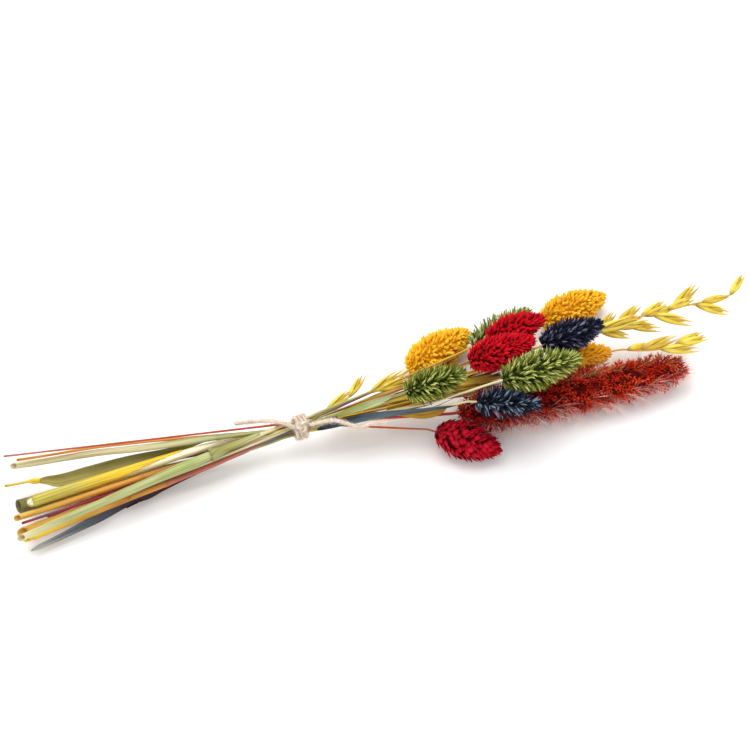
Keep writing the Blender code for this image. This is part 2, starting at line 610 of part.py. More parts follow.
def open_straw(body, points, radius):
    """Bore the straw's cut end, and cut its underside flat where it lies on the surface."""
    ahead = Vector(points[1] - points[0]).normalized()
    bore = bmesh.new()
    bmesh.ops.create_cone(bore, cap_ends=True, segments=8, radius1=radius - STRAW_WALL,
                          radius2=radius - STRAW_WALL, depth=2 * STRAW_BORE)
    turn = ahead.to_track_quat("Z", "Y").to_matrix().to_4x4()
    bmesh.ops.transform(bore, matrix=Matrix.Translation(points[0]) @ turn, verts=bore.verts)
    bmesh.ops.scale(bore, vec=(MM, MM, MM), verts=bore.verts)
    data = bpy.data.meshes.new("straw_bore")
    bore.to_mesh(data)
    bore.free()
    cutter = add_object("straw_bore", data, "oat")
    cut = body.modifiers.new("bore", "BOOLEAN")
    cut.operation = "DIFFERENCE"
    cut.object = cutter
    cut.solver = "EXACT"
    body = made_mesh(body)
    bpy.data.objects.remove(cutter)
    mesh = bmesh.new()
    mesh.from_mesh(body.data)
    cut_away = bmesh.ops.bisect_plane(mesh, geom=[*mesh.verts, *mesh.edges, *mesh.faces], clear_inner=True,
                                      plane_co=(0.0, 0.0, 0.0), plane_no=(0.0, 0.0, 1.0))
    rim = [part for part in cut_away["geom_cut"] if isinstance(part, bmesh.types.BMEdge)]
    bmesh.ops.contextual_create(mesh, geom=rim)
    bmesh.ops.recalc_face_normals(mesh, faces=mesh.faces)
    mesh.to_mesh(body.data)
    mesh.free()


def build_leaves():
    for name, (colour, points, widths) in LEAVES.items():
        leaf(name, colour, points, widths)
    tube("yellow_twig", "straw_orange", TWIG, TWIG_RADII)


def build_twine():
    turns = np.arange(TWINE_TURNS * 12 + 1) / 12
    radius = TIE_RADIUS + GAP + TWINE_DIAMETER / 2
    angle = 2 * math.pi * turns + math.radians(120)
    coil = np.stack([(turns - TWINE_TURNS / 2) * TWINE_PITCH, radius * np.cos(angle),
                     TIE_HEIGHT + radius * np.sin(angle)], axis=1)
    tube("twine_coil", "twine", coil, [TWINE_DIAMETER / 2] * len(coil))
    out = np.array(KNOT_FACES)
    across = np.cross(out, (1.0, 0.0, 0.0))
    centre = np.array([0.0, 0.0, TIE_HEIGHT]) + KNOT_OUT * out
    bpy.ops.mesh.primitive_torus_add(major_segments=12, minor_segments=6, major_radius=KNOT_RADIUS * MM,
                                     minor_radius=TWINE_DIAMETER / 2 * MM)
    loop = bpy.context.object
    loop.data.transform(Vector(out).to_track_quat("Z", "Y").to_matrix().to_4x4())
    loop.data.transform(Matrix.Translation(MM * Vector(centre)))
    for collection in list(loop.users_collection):
        collection.objects.unlink(loop)
    knot = add_object("twine_knot", loop.data, "twine")
    bpy.data.objects.remove(loop)
    strand = [centre + (x, 0.0, 0.0) + rise * out + aside * across for x, rise, aside in KNOT_STRAND]
    over = tube("twine_over_knot", "twine", strand, [TWINE_DIAMETER / 2] * len(strand))
    fuse(knot, [made_mesh(over)])
    for name, points in TAILS.items():
        line = smooth_line([np.array(p) for p in points], TAIL_STEP)
        tube(name, "twine", line, [TWINE_DIAMETER / 2] * len(line), 2)


def main():
    for obj in list(bpy.data.objects):
        bpy.data.objects.remove(obj)
    parts = bpy.data.collections.new("dried_bouquet")
    bpy.context.scene.collection.children.link(parts)
    frame = bpy.data.objects.new("tie_frame", None)
    frame.location = TIE_PLACE
    parts.objects.link(frame)
    build_heads()
    build_oats(build_stems())
    build_leaves()
    build_twine()


main()
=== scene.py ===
"""Looks of a tied bunch of dried and dyed grasses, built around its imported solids.

Lengths are metres, or millimetres where a table is in the tie's frame: there they
start at a point on the surface right under the tie. Heads, stems and the foxtail
take their places from the solids that they stand for.
"""
import math

import bmesh
import bpy
import numpy as np
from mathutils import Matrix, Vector


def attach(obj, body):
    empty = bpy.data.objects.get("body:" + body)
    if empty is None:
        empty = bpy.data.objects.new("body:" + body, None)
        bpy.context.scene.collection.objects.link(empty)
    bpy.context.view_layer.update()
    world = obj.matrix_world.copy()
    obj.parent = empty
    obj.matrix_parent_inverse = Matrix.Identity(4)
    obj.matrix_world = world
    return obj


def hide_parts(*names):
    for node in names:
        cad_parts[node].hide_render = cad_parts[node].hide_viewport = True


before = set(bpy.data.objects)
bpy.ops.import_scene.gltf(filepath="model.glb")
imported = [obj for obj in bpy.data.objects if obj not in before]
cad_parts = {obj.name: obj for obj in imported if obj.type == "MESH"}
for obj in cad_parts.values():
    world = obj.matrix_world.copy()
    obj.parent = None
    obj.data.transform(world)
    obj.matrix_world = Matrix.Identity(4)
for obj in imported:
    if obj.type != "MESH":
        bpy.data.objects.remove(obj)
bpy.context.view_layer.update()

MM = 0.001
TIE_PLACE = np.array((-0.0493, 0.0055, 0.0))
TIE_HEIGHT = 16.0
SCENE = bpy.context.scene.collection


def in_frame(points):
    """Points of the tie's frame, in millimetres, as metres in the bunch's own frame."""
    return np.asarray(points, float) * MM + TIE_PLACE


# Camera
PIXEL = 0.52 * MM        # size of one pixel of the photograph at the tie
TIE_PIXEL = (300, 427)
CENTRE_PIXEL = (375, 375)
CAMERA_RISE = math.radians(55.0)
CAMERA_TURN = math.radians(-19.6)
CAMERA_DISTANCE = 1.4
SENSOR = 36.0


def make_camera():
    back = Vector((math.sin(CAMERA_TURN) * math.cos(CAMERA_RISE),
                   -math.cos(CAMERA_TURN) * math.cos(CAMERA_RISE), math.sin(CAMERA_RISE)))
    right = Vector((math.cos(CAMERA_TURN), math.sin(CAMERA_TURN), 0.0))
    up = back.cross(right)
    target = (Vector(in_frame((0.0, 0.0, TIE_HEIGHT))) + right * (CENTRE_PIXEL[0] - TIE_PIXEL[0]) * PIXEL
              + up * (TIE_PIXEL[1] - CENTRE_PIXEL[1]) * PIXEL)
    data = bpy.data.cameras.new("camera")
    data.sensor_width = SENSOR
    data.lens = SENSOR * CAMERA_DISTANCE / (2 * CENTRE_PIXEL[0] * PIXEL)
    camera = bpy.data.objects.new("camera", data)
    camera.location = target + back * CAMERA_DISTANCE
    camera.rotation_mode = "QUATERNION"
    camera.rotation_quaternion = (-back).to_track_quat("-Z", "Y")
    SCENE.objects.link(camera)
    bpy.context.scene.camera = camera


class Number:
    """A value that varies, held by one output of a node. Operators add Math or Vector Math nodes."""

    def __init__(self, nodes, socket):
        self.nodes = nodes
        self.socket = socket

    def __getitem__(self, name):
        return Number(self.nodes, self.socket.node.outputs[name])

    def __add__(self, other):
        return self.nodes.maths("ADD", self, other)

    def __sub__(self, other):
        return self.nodes.maths("SUBTRACT", self, other)

    def __mul__(self, other):
        return self.nodes.maths("MULTIPLY", self, other)

    def __truediv__(self, other):
        return self.nodes.maths("DIVIDE", self, other)

    def __pow__(self, other):
        return self.nodes.maths("POWER", self, other)

    def __rsub__(self, other):
        return self.nodes.maths("SUBTRACT", other, self)

    def __rtruediv__(self, other):
        return self.nodes.maths("DIVIDE", other, self)

    __radd__ = __add__
    __rmul__ = __mul__


class Nodes:
    """Adds nodes to one tree, of a material or of Geometry Nodes."""

    def __init__(self, tree):
        self.tree = tree

    def add(self, kind, settings=None, values=None, output=0):
        """One node: its settings first, then a value or a link for each socket named."""
        node = self.tree.nodes.new(kind)
        for key, value in (settings or {}).items():
            if key == "stops":
                self.set_stops(node, value)
            else:
                setattr(node, key, value)
        for key, value in (values or {}).items():
            if isinstance(value, Number):
                self.tree.links.new(value.socket, node.inputs[key])
            else:
                node.inputs[key].default_value = value
        return Number(self, node.outputs[output]) if node.outputs else node

    @staticmethod
    def set_stops(node, stops):
        ends = node.color_ramp.elements
        for element, (place, shade) in ((ends[0], stops[0]), (ends[1], stops[-1])):
            element.position = place
            element.color = shade
        for place, shade in stops[1:-1]:
            ends.new(place).color = shade

    def maths(self, operation, first, second=0.0):
        """A Math node, or a Vector Math node where a vector takes part."""
        arrows = [isinstance(v, Number) and v.socket.type == "VECTOR" for v in (first, second)]
        if not any(arrows):
            return self.add("ShaderNodeMath", {"operation": operation}, {0: first, 1: second})
        if operation == "MULTIPLY" and not all(arrows):
            arrow, factor = (first, second) if arrows[0] else (second, first)
            return self.add("ShaderNodeVectorMath", {"operation": "SCALE"}, {0: arrow, "Scale": factor})
        return self.add("ShaderNodeVectorMath", {"operation": operation}, {0: first, 1: second},
                        "Value" if operation == "DOT_PRODUCT" else "Vector")

    def unit(self, arrow):
        return self.add("ShaderNodeVectorMath", {"operation": "NORMALIZE"}, {0: arrow})

    def clamped(self, value):
        return self.add("ShaderNodeClamp", {}, {"Value": value})

    def between(self, value, low, high):
        """0 below low, 1 above high, and a smooth rise between them."""
        return self.add("ShaderNodeMapRange", {"interpolation_type": "SMOOTHSTEP"},
                        {"Value": value, "From Min": low, "From Max": high})

    def draw(self, low, high, index, seed):
        """A random number for each index."""
        values = {2: low, 3: high, 7: index, 8: seed}
        return self.add("FunctionNodeRandomValue", {"data_type": "FLOAT"}, values, 1)

    def mix(self, factor, first, second, blend="MIX"):
        """Two colours mixed."""
        return self.add("ShaderNodeMix", {"data_type": "RGBA", "blend_type": blend},
                        {0: factor, 6: first, 7: second}, 2)

    def noise(self, scale, detail=3.0, stretch=1.0, skin=False):
        """Noise in features per metre, drawn out along X where stretch is under 1.

        It lies on the object, or on a piece's own skin.
        """
        if skin:
            place = self.add("ShaderNodeAttribute", {"attribute_name": "skin"}, {}, "Vector")
        else:
            place = self.add("ShaderNodeTexCoord", {}, {}, "Object")
        place = self.add("ShaderNodeMapping", {}, {"Vector": place, "Scale": (stretch, 1.0, 1.0)})
        return self.add("ShaderNodeTexNoise", {}, {"Vector": place, "Scale": scale, "Detail": detail})

    def ramp(self, value, stops):
        """A colour that changes with a value from 0 to 1, through stops of a value and a colour."""
        return self.add("ShaderNodeValToRGB", {"stops": stops}, {"Fac": value})

    def relief(self, height, depth, strength=0.6):
        """A normal that follows a height. depth is in millimetres."""
        return self.add("ShaderNodeBump", {},
                        {"Height": height, "Distance": depth * MM, "Strength": strength})

    def arrow(self, *numbers):
        """A vector of three numbers."""
        return self.add("ShaderNodeCombineXYZ", {}, dict(enumerate(numbers)))

    def stray(self, index, seed):
        """A random vector for each index, of up to 1 along each axis."""
        return self.arrow(*(self.draw(-1.0, 1.0, index, seed + k) for k in range(3)))

    def swung(self, angle, first, second):
        """The first direction, swung by an angle towards the second."""
        return first * self.maths("COSINE", angle) + second * self.maths("SINE", angle)

    def stood(self, growth, front):
        """A rotation that stands Z along the growth and turns X to the front."""
        turn = self.add("FunctionNodeAlignRotationToVector", {"axis": "Z"}, {"Vector": growth})
        return self.add("FunctionNodeAlignRotationToVector", {"axis": "X", "pivot_axis": "Z"},
                        {"Rotation": turn, "Vector": front})

    def planted(self, points, thing, turn, size, chosen=True):
        """A copy of an object on each chosen point."""
        shape = self.add("GeometryNodeObjectInfo", {}, {"Object": thing}, "Geometry")
        return self.add("GeometryNodeInstanceOnPoints", {}, {
            "Points": points, "Selection": chosen, "Instance": shape, "Rotation": turn, "Scale": size})

    def tube(self, path, sides, radius, scale=1.0):
        """A closed round tube along a path."""
        profile = self.add("GeometryNodeCurvePrimitiveCircle", {}, {"Resolution": sides, "Radius": radius})
        return self.add("GeometryNodeCurveToMesh", {}, {
            "Curve": path, "Profile Curve": profile, "Scale": scale, "Fill Caps": True})

    def join(self, *geometries):
        """Several geometries as one."""
        both = self.add("GeometryNodeJoinGeometry")
        for geometry in geometries:
            self.tree.links.new(geometry.socket, both.socket.node.inputs[0])
        return both


class Finish(Nodes):
    """Adds nodes to a new material."""

    def __init__(self, name):
        self.material = bpy.data.materials.new(name)
        self.material.use_nodes = True
        super().__init__(self.material.node_tree)

    def attributes(self, *names):
        """What varies over a piece, under names that its mesh carries."""
        return [self.add("ShaderNodeAttribute", {"attribute_name": name}, {}, "Fac") for name in names]

    def tinted(self, shade, red, green, blue):
        """A colour multiplied by a tint."""
        return self.mix(1.0, shade, colour(red, green, blue), "MULTIPLY")

    def finished(self, varying, fixed):
        """The material, once its shader has what varies over the surface and what is the same all over it."""
        shader = self.tree.nodes["Principled BSDF"]
        for socket, value in varying.items():
            self.tree.links.new(value.socket, shader.inputs[socket])
        for socket, value in fixed.items():
            shader.inputs[socket].default_value = value
        return self.material


def colour(red, green, blue):
    return (red, green, blue, 1.0)


DYED_GLOSS = 0.10
STRAW_GLOSS = 0.30
LEAF_GLOSS = 0.25
LEAF_VEINS = 26.0        # how closely the veins of a blade and of an oat husk lie
OAT_VEINS = 17.0
EMBER_FADES = (0.125, 0.035)     # metres along the bunch, from none of the foxtail's deeper red to all of it


def husk_finish(name, deep, main, pale, keels, bare):
    """Dyed husk: deep where it is rooted, as painted shade, its own dye over most of it, and pale on its keel
    and edges, partly its own paler keel and partly painted highlight.

    keels says how pale those are, and bare is the share of the husks that have no pale ones.
    """
    nodes = Finish(name)
    along, across, tone = nodes.attributes("along", "across", "tone")
    patches = nodes.noise(260.0)
    # Deep towards each husk's root: painted shade between the husks
    dye_and_root_shade = nodes.mix(nodes.between(along, 0.10, 0.55), deep, main)
    # Pale keels: partly the husks' own paler keels, partly painted highlight on the ridges
    keel = nodes.between(across, 0.20, 0.60) * nodes.between(along, 0.08, 0.35) * keels
    keel = keel * nodes.between(tone, bare - 0.15, bare + 0.15)
    worn_and_highlit = nodes.clamped(keel + nodes.between(tone + patches * 0.8, 0.9, 1.7) * 0.35)
    shade = nodes.mix(worn_and_highlit, dye_and_root_shade, pale)
    shade = nodes.mix(nodes.between(tone + patches, 0.95, 0.35) * 0.45, shade, deep)
    return nodes.finished({"Base Color": shade, "Roughness": 0.80 - patches * 0.2,
                           "Normal": nodes.relief(nodes.noise(2600.0, 2.0), 0.12, 0.5)},
                          {"Specular IOR Level": DYED_GLOSS})


def foxtail_finish(name, dye, ember):
    """Dyed foxtail: deep between its tufts as painted shade, paler at their points in random patches as
    painted highlight, and of a deeper red where it is rooted than towards its tip.
    """
    nodes = Finish(name)
    along, tone = nodes.attributes("along", "tone")
    patches = nodes.noise(150.0)
    place = nodes.add("ShaderNodeTexCoord", {}, {}, "Object")
    rooted = nodes.between(nodes.add("ShaderNodeSeparateXYZ", {}, {0: place}, "X"), *EMBER_FADES)
    # Painted highlight: paler towards the tufts' points in random patches; deep at their roots is painted
    # shade
    light = nodes.between(tone * 0.6 + patches, 0.55, 1.05) * nodes.between(along, 0.35, 0.9)
    shades = [nodes.mix(light, nodes.mix(nodes.between(along, 0.15, 0.6), deep, main), pale)
              for deep, main, pale in (dye, ember)]
    shade = nodes.mix(rooted * 0.85, *shades)
    return nodes.finished({"Base Color": shade, "Roughness": 0.80 - patches * 0.2},
                          {"Specular IOR Level": DYED_GLOSS})


def straw_finish(name, stops, streak=0.55):
    """Dry stem: its colour changes along it, in fine streaks, and is darker at its joints; the hollow behind
    its cut is darker too, as painted shade.

    Stops are millimetres from the cut and a colour. streak says how strong the streaks are.
    """
    nodes = Finish(name)
    reached, joint = nodes.attributes("reached", "joint")
    streaks = nodes.noise(1100.0, 3.0, 0.035, True)
    bands = nodes.noise(420.0, 2.0, 0.02, True)
    blotches = nodes.noise(60.0, 2.0, 0.5, True)
    shift = reached / (LONGEST_STEM * MM) + (blotches - 0.5) * 0.10
    base = nodes.ramp(shift, [(place / LONGEST_STEM, shade) for place, shade in stops])
    dark = nodes.tinted(base, 0.58, 0.49, 0.34)
    light = nodes.tinted(base, 1.22, 1.22, 1.30)
    shade = nodes.mix(nodes.between(streaks, 0.44, 0.60) * streak, base, dark)
    shade = nodes.mix(nodes.between(bands, 0.50, 0.66) * streak, shade, light)
    shade = nodes.mix(nodes.clamped(joint) * 0.6, shade, dark)
    return nodes.finished({"Base Color": shade, "Roughness": 0.40 + streaks * 0.3,
                           "Normal": nodes.relief(streaks, 0.18)},
                          {"Specular IOR Level": STRAW_GLOSS})


def leaf_finish(name, stops, sided=0.0):
    """Dry blade: parallel veins and paler patches over a colour that changes from its base to its tip.

    sided says how much paler the half that faces forward is.
    """
    nodes = Finish(name)
    along, across = nodes.attributes("along", "across")
    veins = nodes.maths("SINE", across * LEAF_VEINS) * 0.5 + 0.5
    streaks = nodes.noise(700.0, 3.0, 0.05, True)
    patches = nodes.noise(90.0, 3.0, 0.4, True)
    base = nodes.ramp(along + (patches - 0.5) * 0.10, stops)
    deep = nodes.tinted(base, 0.40, 0.38, 0.30)
    pale = nodes.tinted(base, 1.75, 1.70, 1.75)
    forward = nodes.between(across, 0.25, -0.35) * sided
    shade = nodes.mix(nodes.clamped(nodes.between(patches, 0.35, 0.70) * 0.5 + forward), base, pale)
    shade = nodes.mix(nodes.clamped(veins * 0.30 + nodes.between(streaks, 0.5, 0.7) * 0.55), shade, deep)
    return nodes.finished({"Base Color": shade, "Roughness": 0.50 + patches * 0.25,
                           "Normal": nodes.relief(veins * 0.5 + streaks, 0.2)},
                          {"Specular IOR Level": LEAF_GLOSS})


def oat_finish():
    """Oat husk: papery yellow, finely veined, amber at its point, painted shade in brown at edges and root.
    """
    nodes = Finish("oat_husk")
    along, across, tone = nodes.attributes("along", "across", "tone")
    patches = nodes.noise(160.0)
    veins = nodes.between(nodes.maths("SINE", across * OAT_VEINS), 0.3, 1.0)
    ripe = nodes.between(patches + tone * 0.5, 0.50, 0.95)
    edge = nodes.between(nodes.maths("ABSOLUTE", across), 0.50, 0.95)
    shade = nodes.mix(ripe, colour(0.84, 0.68, 0.070), colour(0.64, 0.42, 0.020))
    # Veins and the amber point are the husk's own colour; the brown at its edges and root is painted shade
    for stained_and_shaded, stain_and_shade in ((veins * 0.30, colour(0.40, 0.25, 0.016)),
                           (edge * 0.60, colour(0.34, 0.19, 0.014)),
                           (nodes.between(along, 0.30, 0.0) * 0.8, colour(0.24, 0.13, 0.010)),
                           (nodes.between(along, 0.78, 1.0) * 0.7, colour(0.85, 0.42, 0.05))):
        shade = nodes.mix(stained_and_shaded, shade, stain_and_shade)
    return nodes.finished({"Base Color": shade, "Roughness": 0.40 + patches * 0.25,
                           "Normal": nodes.relief(veins + patches * 0.4, 0.15, 0.5)}, {})


def twine_finish():
    """Jute: pale tan fibres with darker and redder ones among them."""
    nodes = Finish("jute")
    fibres = nodes.noise(2400.0, 4.0, 0.5)
    patches = nodes.noise(220.0, 2.0)
    shade = nodes.mix(nodes.between(fibres, 0.35, 0.65), colour(0.70, 0.54, 0.41), colour(0.98, 0.88, 0.76))
    shade = nodes.mix(nodes.between(patches, 0.45, 0.75) * 0.35, shade, colour(0.66, 0.44, 0.32))
    return nodes.finished({"Base Color": shade, "Roughness": 0.85 + fibres * 0.12,
                           "Normal": nodes.relief(fibres, 0.25, 0.7)}, {"Sheen Weight": 0.3})


def pith_finish():
    """Soft white pith in a straw's mouth, yellowed in spots."""
    nodes = Finish("pith")
    grain = nodes.noise(1500.0, 2.0)
    shade = nodes.mix(nodes.between(grain, 0.3, 0.6), colour(0.72, 0.60, 0.30), colour(0.90, 0.86, 0.72))
    return nodes.finished({"Base Color": shade, "Roughness": 0.75 + grain * 0.2,
                           "Normal": nodes.relief(grain, 0.2)}, {})


# Colours of the dyes: deep, main and pale; deep also serves as painted shade, pale as painted highlight
DYES = {
    "yellow": (colour(0.66, 0.28, 0.003), colour(0.96, 0.55, 0.018), colour(1.00, 0.74, 0.11)),
    "amber": (colour(0.72, 0.27, 0.003), colour(1.00, 0.53, 0.016), colour(1.00, 0.68, 0.07)),
    "green": (colour(0.018, 0.030, 0.003), colour(0.130, 0.165, 0.010), colour(0.86, 0.90, 0.28)),
    "pale_green": (colour(0.022, 0.036, 0.006), colour(0.120, 0.165, 0.020), colour(0.86, 0.92, 0.40)),
    "red": (colour(0.13, 0.001, 0.003), colour(0.56, 0.002, 0.010), colour(0.90, 0.022, 0.040)),
    "crimson": (colour(0.08, 0.001, 0.003), colour(0.40, 0.002, 0.013), colour(0.66, 0.012, 0.034)),
    "navy": (colour(0.002, 0.004, 0.008), colour(0.009, 0.015, 0.032), colour(0.36, 0.46, 0.60)),
    "violet": (colour(0.003, 0.003, 0.008), colour(0.011, 0.011, 0.030), colour(0.30, 0.32, 0.50)),
    "rust": (colour(0.07, 0.001, 0.001), colour(0.44, 0.011, 0.004), colour(0.86, 0.08, 0.018)),
    "ember": (colour(0.04, 0.001, 0.001), colour(0.27, 0.004, 0.004), colour(0.60, 0.026, 0.014)),
    "rust_bristle": (colour(0.85, 0.30, 0.22), colour(1.00, 0.62, 0.54), colour(1.00, 0.90, 0.86)),
    # Painted light: the glow of the foxtail's bristles on the side that faces the key lamp, not a dye
    "amber_bristle": (colour(1.00, 0.34, 0.06), colour(1.00, 0.58, 0.22), colour(1.00, 0.82, 0.52)),
    "ember_bristle": (colour(0.60, 0.12, 0.10), colour(0.98, 0.58, 0.52), colour(1.00, 0.90, 0.87)),
}


def geometry_tree(name, sockets):
    """A Geometry Nodes tree with a geometry input and these named inputs.

    Gives what adds nodes to the tree, and its inputs.
    """
    tree = bpy.data.node_groups.new(name, "GeometryNodeTree")
    tree.interface.new_socket("Geometry", in_out="INPUT", socket_type="NodeSocketGeometry")
    tree.interface.new_socket("Geometry", in_out="OUTPUT", socket_type="NodeSocketGeometry")
    for label, kind in sockets.items():
        tree.interface.new_socket(label, in_out="INPUT", socket_type=f"NodeSocket{kind}")
    nodes = Nodes(tree)
    return nodes, nodes.add("NodeGroupInput")


def end_tree(nodes, geometry, finish):
    """Real meshes with their material, as the tree's result."""
    real = nodes.add("GeometryNodeRealizeInstances", {}, {"Geometry": geometry})
    done = nodes.add("GeometryNodeSetMaterial", {}, {"Geometry": real, "Material": finish})
    nodes.add("NodeGroupOutput", {}, {"Geometry": done})


def grown(name, source, nodes, values):
    """A plain mesh piece, made by the tree from the source object, which is then removed."""
    modifier = source.modifiers.new("grow", "NODES")
    modifier.node_group = nodes.tree
    for item in nodes.tree.interface.items_tree:
        if item.in_out == "INPUT" and item.name in values:
            modifier[item.identifier] = values[item.name]
    bpy.context.view_layer.update()
    evaluated = source.evaluated_get(bpy.context.evaluated_depsgraph_get())
    mesh = bpy.data.meshes.new_from_object(evaluated)
    bpy.data.objects.remove(source)
    return new_piece(name, mesh)


def new_piece(name, mesh):
    mesh.name = name
    piece = bpy.data.objects.new(name, mesh)
    SCENE.objects.link(piece)
    return piece


def declare(piece, slot, *nodes):
    """The piece rides on the bunch's one body and stands for these solids."""
    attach(piece, "root")
    if nodes:
        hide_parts(*nodes)


def loft(name, sections, values, finish=None, smooth=True):
    """A closed mesh through closed sections of equal length.

    values gives its attributes, each with one row a section.
    """
    sections = np.asarray(sections, float)
    count, around = sections.shape[:2]
    mesh = bmesh.new()
    rings = [[mesh.verts.new(point) for point in section] for section in sections]
    for near, far in zip(rings, rings[1:]):
        for k in range(around):
            after = (k + 1) % around
            mesh.faces.new((near[k], near[after], far[after], far[k]))
    mesh.faces.new(rings[0][::-1])
    mesh.faces.new(rings[-1])
    bmesh.ops.triangulate(mesh, faces=[f for f in mesh.faces if len(f.verts) > 4])
    bmesh.ops.recalc_face_normals(mesh, faces=mesh.faces)
    data = bpy.data.meshes.new(name)
    mesh.to_mesh(data)
    mesh.free()
    for label, value in values.items():
        value = np.asarray(value, float)
        if value.ndim == 3:
            attribute = data.attributes.new(label, "FLOAT_VECTOR", "POINT")
            attribute.data.foreach_set("vector", value.astype(np.float32).ravel())
        else:
            attribute = data.attributes.new(label, "FLOAT", "POINT")
            spread = np.broadcast_to(value.reshape(count, -1), (count, around))
            attribute.data.foreach_set("value", spread.astype(np.float32).ravel())
    if smooth:
        data.shade_smooth()
    if finish:
        data.materials.append(finish)
    return data


def joined(name, meshes):
    """One mesh of several, with their attributes and materials."""
    objects = [new_piece(f"{name}_{k}", mesh) for k, mesh in enumerate(meshes)]
    with bpy.context.temp_override(active_object=objects[0], selected_editable_objects=objects,
                                   selected_objects=objects, object=objects[0]):
        bpy.ops.object.join()
    objects[0].name = name
    objects[0].data.name = name
    return objects[0]


def smooth_line(points, step):
    """Points about a step apart on a smooth curve through the given ones."""
    points = np.asarray(points, float)
    fixed = [2 * points[0] - points[1], *points, 2 * points[-1] - points[-2]]
    line = []
    for before, start, end, after in zip(fixed, fixed[1:], fixed[2:], fixed[3:]):
        count = max(1, round(float(np.linalg.norm((end - start)[:3]) / step)))
        for u in np.arange(count) / count:
            line.append(0.5 * (2 * start + (end - before) * u
                               + (2 * before - 5 * start + 4 * end - after) * u ** 2
                               + (3 * start - before - 3 * end + after) * u ** 3))
    return np.array([*line, points[-1]])


def unit(arrow):
    return arrow / np.linalg.norm(arrow, axis=-1, keepdims=True)


def directions(line):
    """At each point of a line: the way ahead, the side and the rise, which turn as little as they can."""
    ahead = unit(np.gradient(line, axis=0))
    rise = np.zeros_like(line)
    last = np.array((0.0, 0.0, 1.0))
    for k, along in enumerate(ahead):
        last = unit(last - along * (last @ along))
        rise[k] = last
    return ahead, np.cross(ahead, rise), rise


def round_about(side, rise, sides):
    """Directions round a line at each of its points, and their angles."""
    around = 2 * math.pi * np.arange(sides) / sides
    out = np.cos(around)[None, :, None] * side[:, None] + np.sin(around)[None, :, None] * rise[:, None]
    return out, around


def share_along(line):
    """How far along a line each of its points lies, from 0 to 1."""
    steps = np.linalg.norm(np.diff(line, axis=0), axis=1)
    return np.concatenate([[0.0], np.cumsum(steps)]) / steps.sum()


def length_of(line):
    return float(np.linalg.norm(np.diff(line, axis=0), axis=1).sum())


def path_object(name, points):
    """A mesh of a single path, for a tree to grow along."""
    data = bpy.data.meshes.new(name)
    data.from_pydata([tuple(p) for p in points], [(k, k + 1) for k in range(len(points) - 1)], [])
    return new_piece(name, data)


def solid_corners(node):
    """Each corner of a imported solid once."""
    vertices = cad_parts[node].data.vertices
    flat = np.empty(3 * len(vertices))
    vertices.foreach_get("co", flat)
    return np.unique(np.round(flat.reshape(-1, 3), 6), axis=0)


# Twine: the tails first, because they are free cords
TWINE_TURNS = 3
TAIL_STEP = 1.2
TWINE_PITCH = 2.15
TWINE_WINDING = 5.3      # from the bundle's middle to the twine's
COIL_START = math.radians(120)
POINTS_A_TURN = 36
KNOT_FACES = np.array((0.0, -0.54, 0.84))
KNOT_OUT = 7.2
KNOT_SIZE = (0.95, 0.80, 0.75)   # of its trefoil along the bundle, across it and outwards
KNOT_POINTS = 60
TAILS = {
    "twine_tail_left": ((-4.0, -3.4, 22.6), (-8.5, 0.1, 23.6), (-12.1, 2.5, 23.4), (-17.3, 5.8, 22.2),
                        (-23.6, 9.4, 19.6), (-31.0, 14.0, 15.2)),
    "twine_tail_right": ((4.0, -4.4, 22.2), (9.0, -6.2, 24.6), (15.5, -8.4, 26.4), (21.2, -13.5, 27.6),
                         (26.9, -17.9, 27.4), (33.8, -17.3, 27.2), (41.7, -18.6, 26.0)),
}
PLIES = 3
PLY_SIDES = 8
PLY_RADIUS = 0.48
PLY_LAY = 0.5            # from the cord's middle to a ply's
PLY_PITCH = 5.2
PLY_STEP = 0.4
FUZZ_THICKNESS = 0.075   # of a fibre's length
FUZZ_BEND = 0.45
FUZZ_LENGTH = 1.9
FUZZ_DENSITY = 3.8e6     # fibres on a square metre
FUZZ_STRAY = 1.3
HAIR_SIDES = 3
HAIR_STEPS = 2
HAIR_THINS = 0.85        # share of a hair's thickness that is lost by its point


def twine_tree():
    """Plies laid round a path."""
    nodes, given = geometry_tree("laid twine", {"Ply Radius": "Float", "Lay": "Float", "Pitch": "Float",
                                                "Step": "Float", "Finish": "Material"})
    path = nodes.add("GeometryNodeMeshToCurve", {}, {"Mesh": given["Geometry"]})
    path = nodes.add("GeometryNodeResampleCurve", {"mode": "LENGTH"},
                     {"Curve": path, "Length": given["Step"]})
    travelled = nodes.add("GeometryNodeSplineParameter", {}, {}, "Length")
    ahead = nodes.add("GeometryNodeInputTangent")
    side = nodes.add("GeometryNodeInputNormal")
    over = nodes.maths("CROSS_PRODUCT", ahead, side)
    plies = []
    for k in range(PLIES):
        angle = travelled / given["Pitch"] * (2 * math.pi) + 2 * math.pi * k / PLIES
        out = nodes.swung(angle, side, over)
        ply = nodes.add("GeometryNodeSetPosition", {}, {"Geometry": path, "Offset": out * given["Lay"]})
        plies.append(nodes.tube(ply, PLY_SIDES, given["Ply Radius"]))
    end_tree(nodes, nodes.join(*plies), given["Finish"])
    return nodes


def fuzz_tree():
    """Loose fibres that stand off a surface at every angle."""
    nodes, given = geometry_tree("fuzz", {"Fibre": "Object", "Density": "Float", "Length": "Float",
                                          "Stray": "Float", "Seed": "Int", "Finish": "Material"})
    roots = nodes.add("GeometryNodeDistributePointsOnFaces", {},
                      {"Mesh": given["Geometry"], "Density": given["Density"], "Seed": given["Seed"]})
    index = nodes.add("GeometryNodeInputIndex")
    aside = nodes.stray(index, 1)
    growth = nodes.unit(roots["Normal"] + aside * given["Stray"])
    size = given["Length"] * nodes.draw(0.4, 1.3, index, 9)
    fibres = nodes.planted(roots, given["Fibre"], nodes.stood(growth, aside), size)
    end_tree(nodes, fibres, given["Finish"])
    return nodes


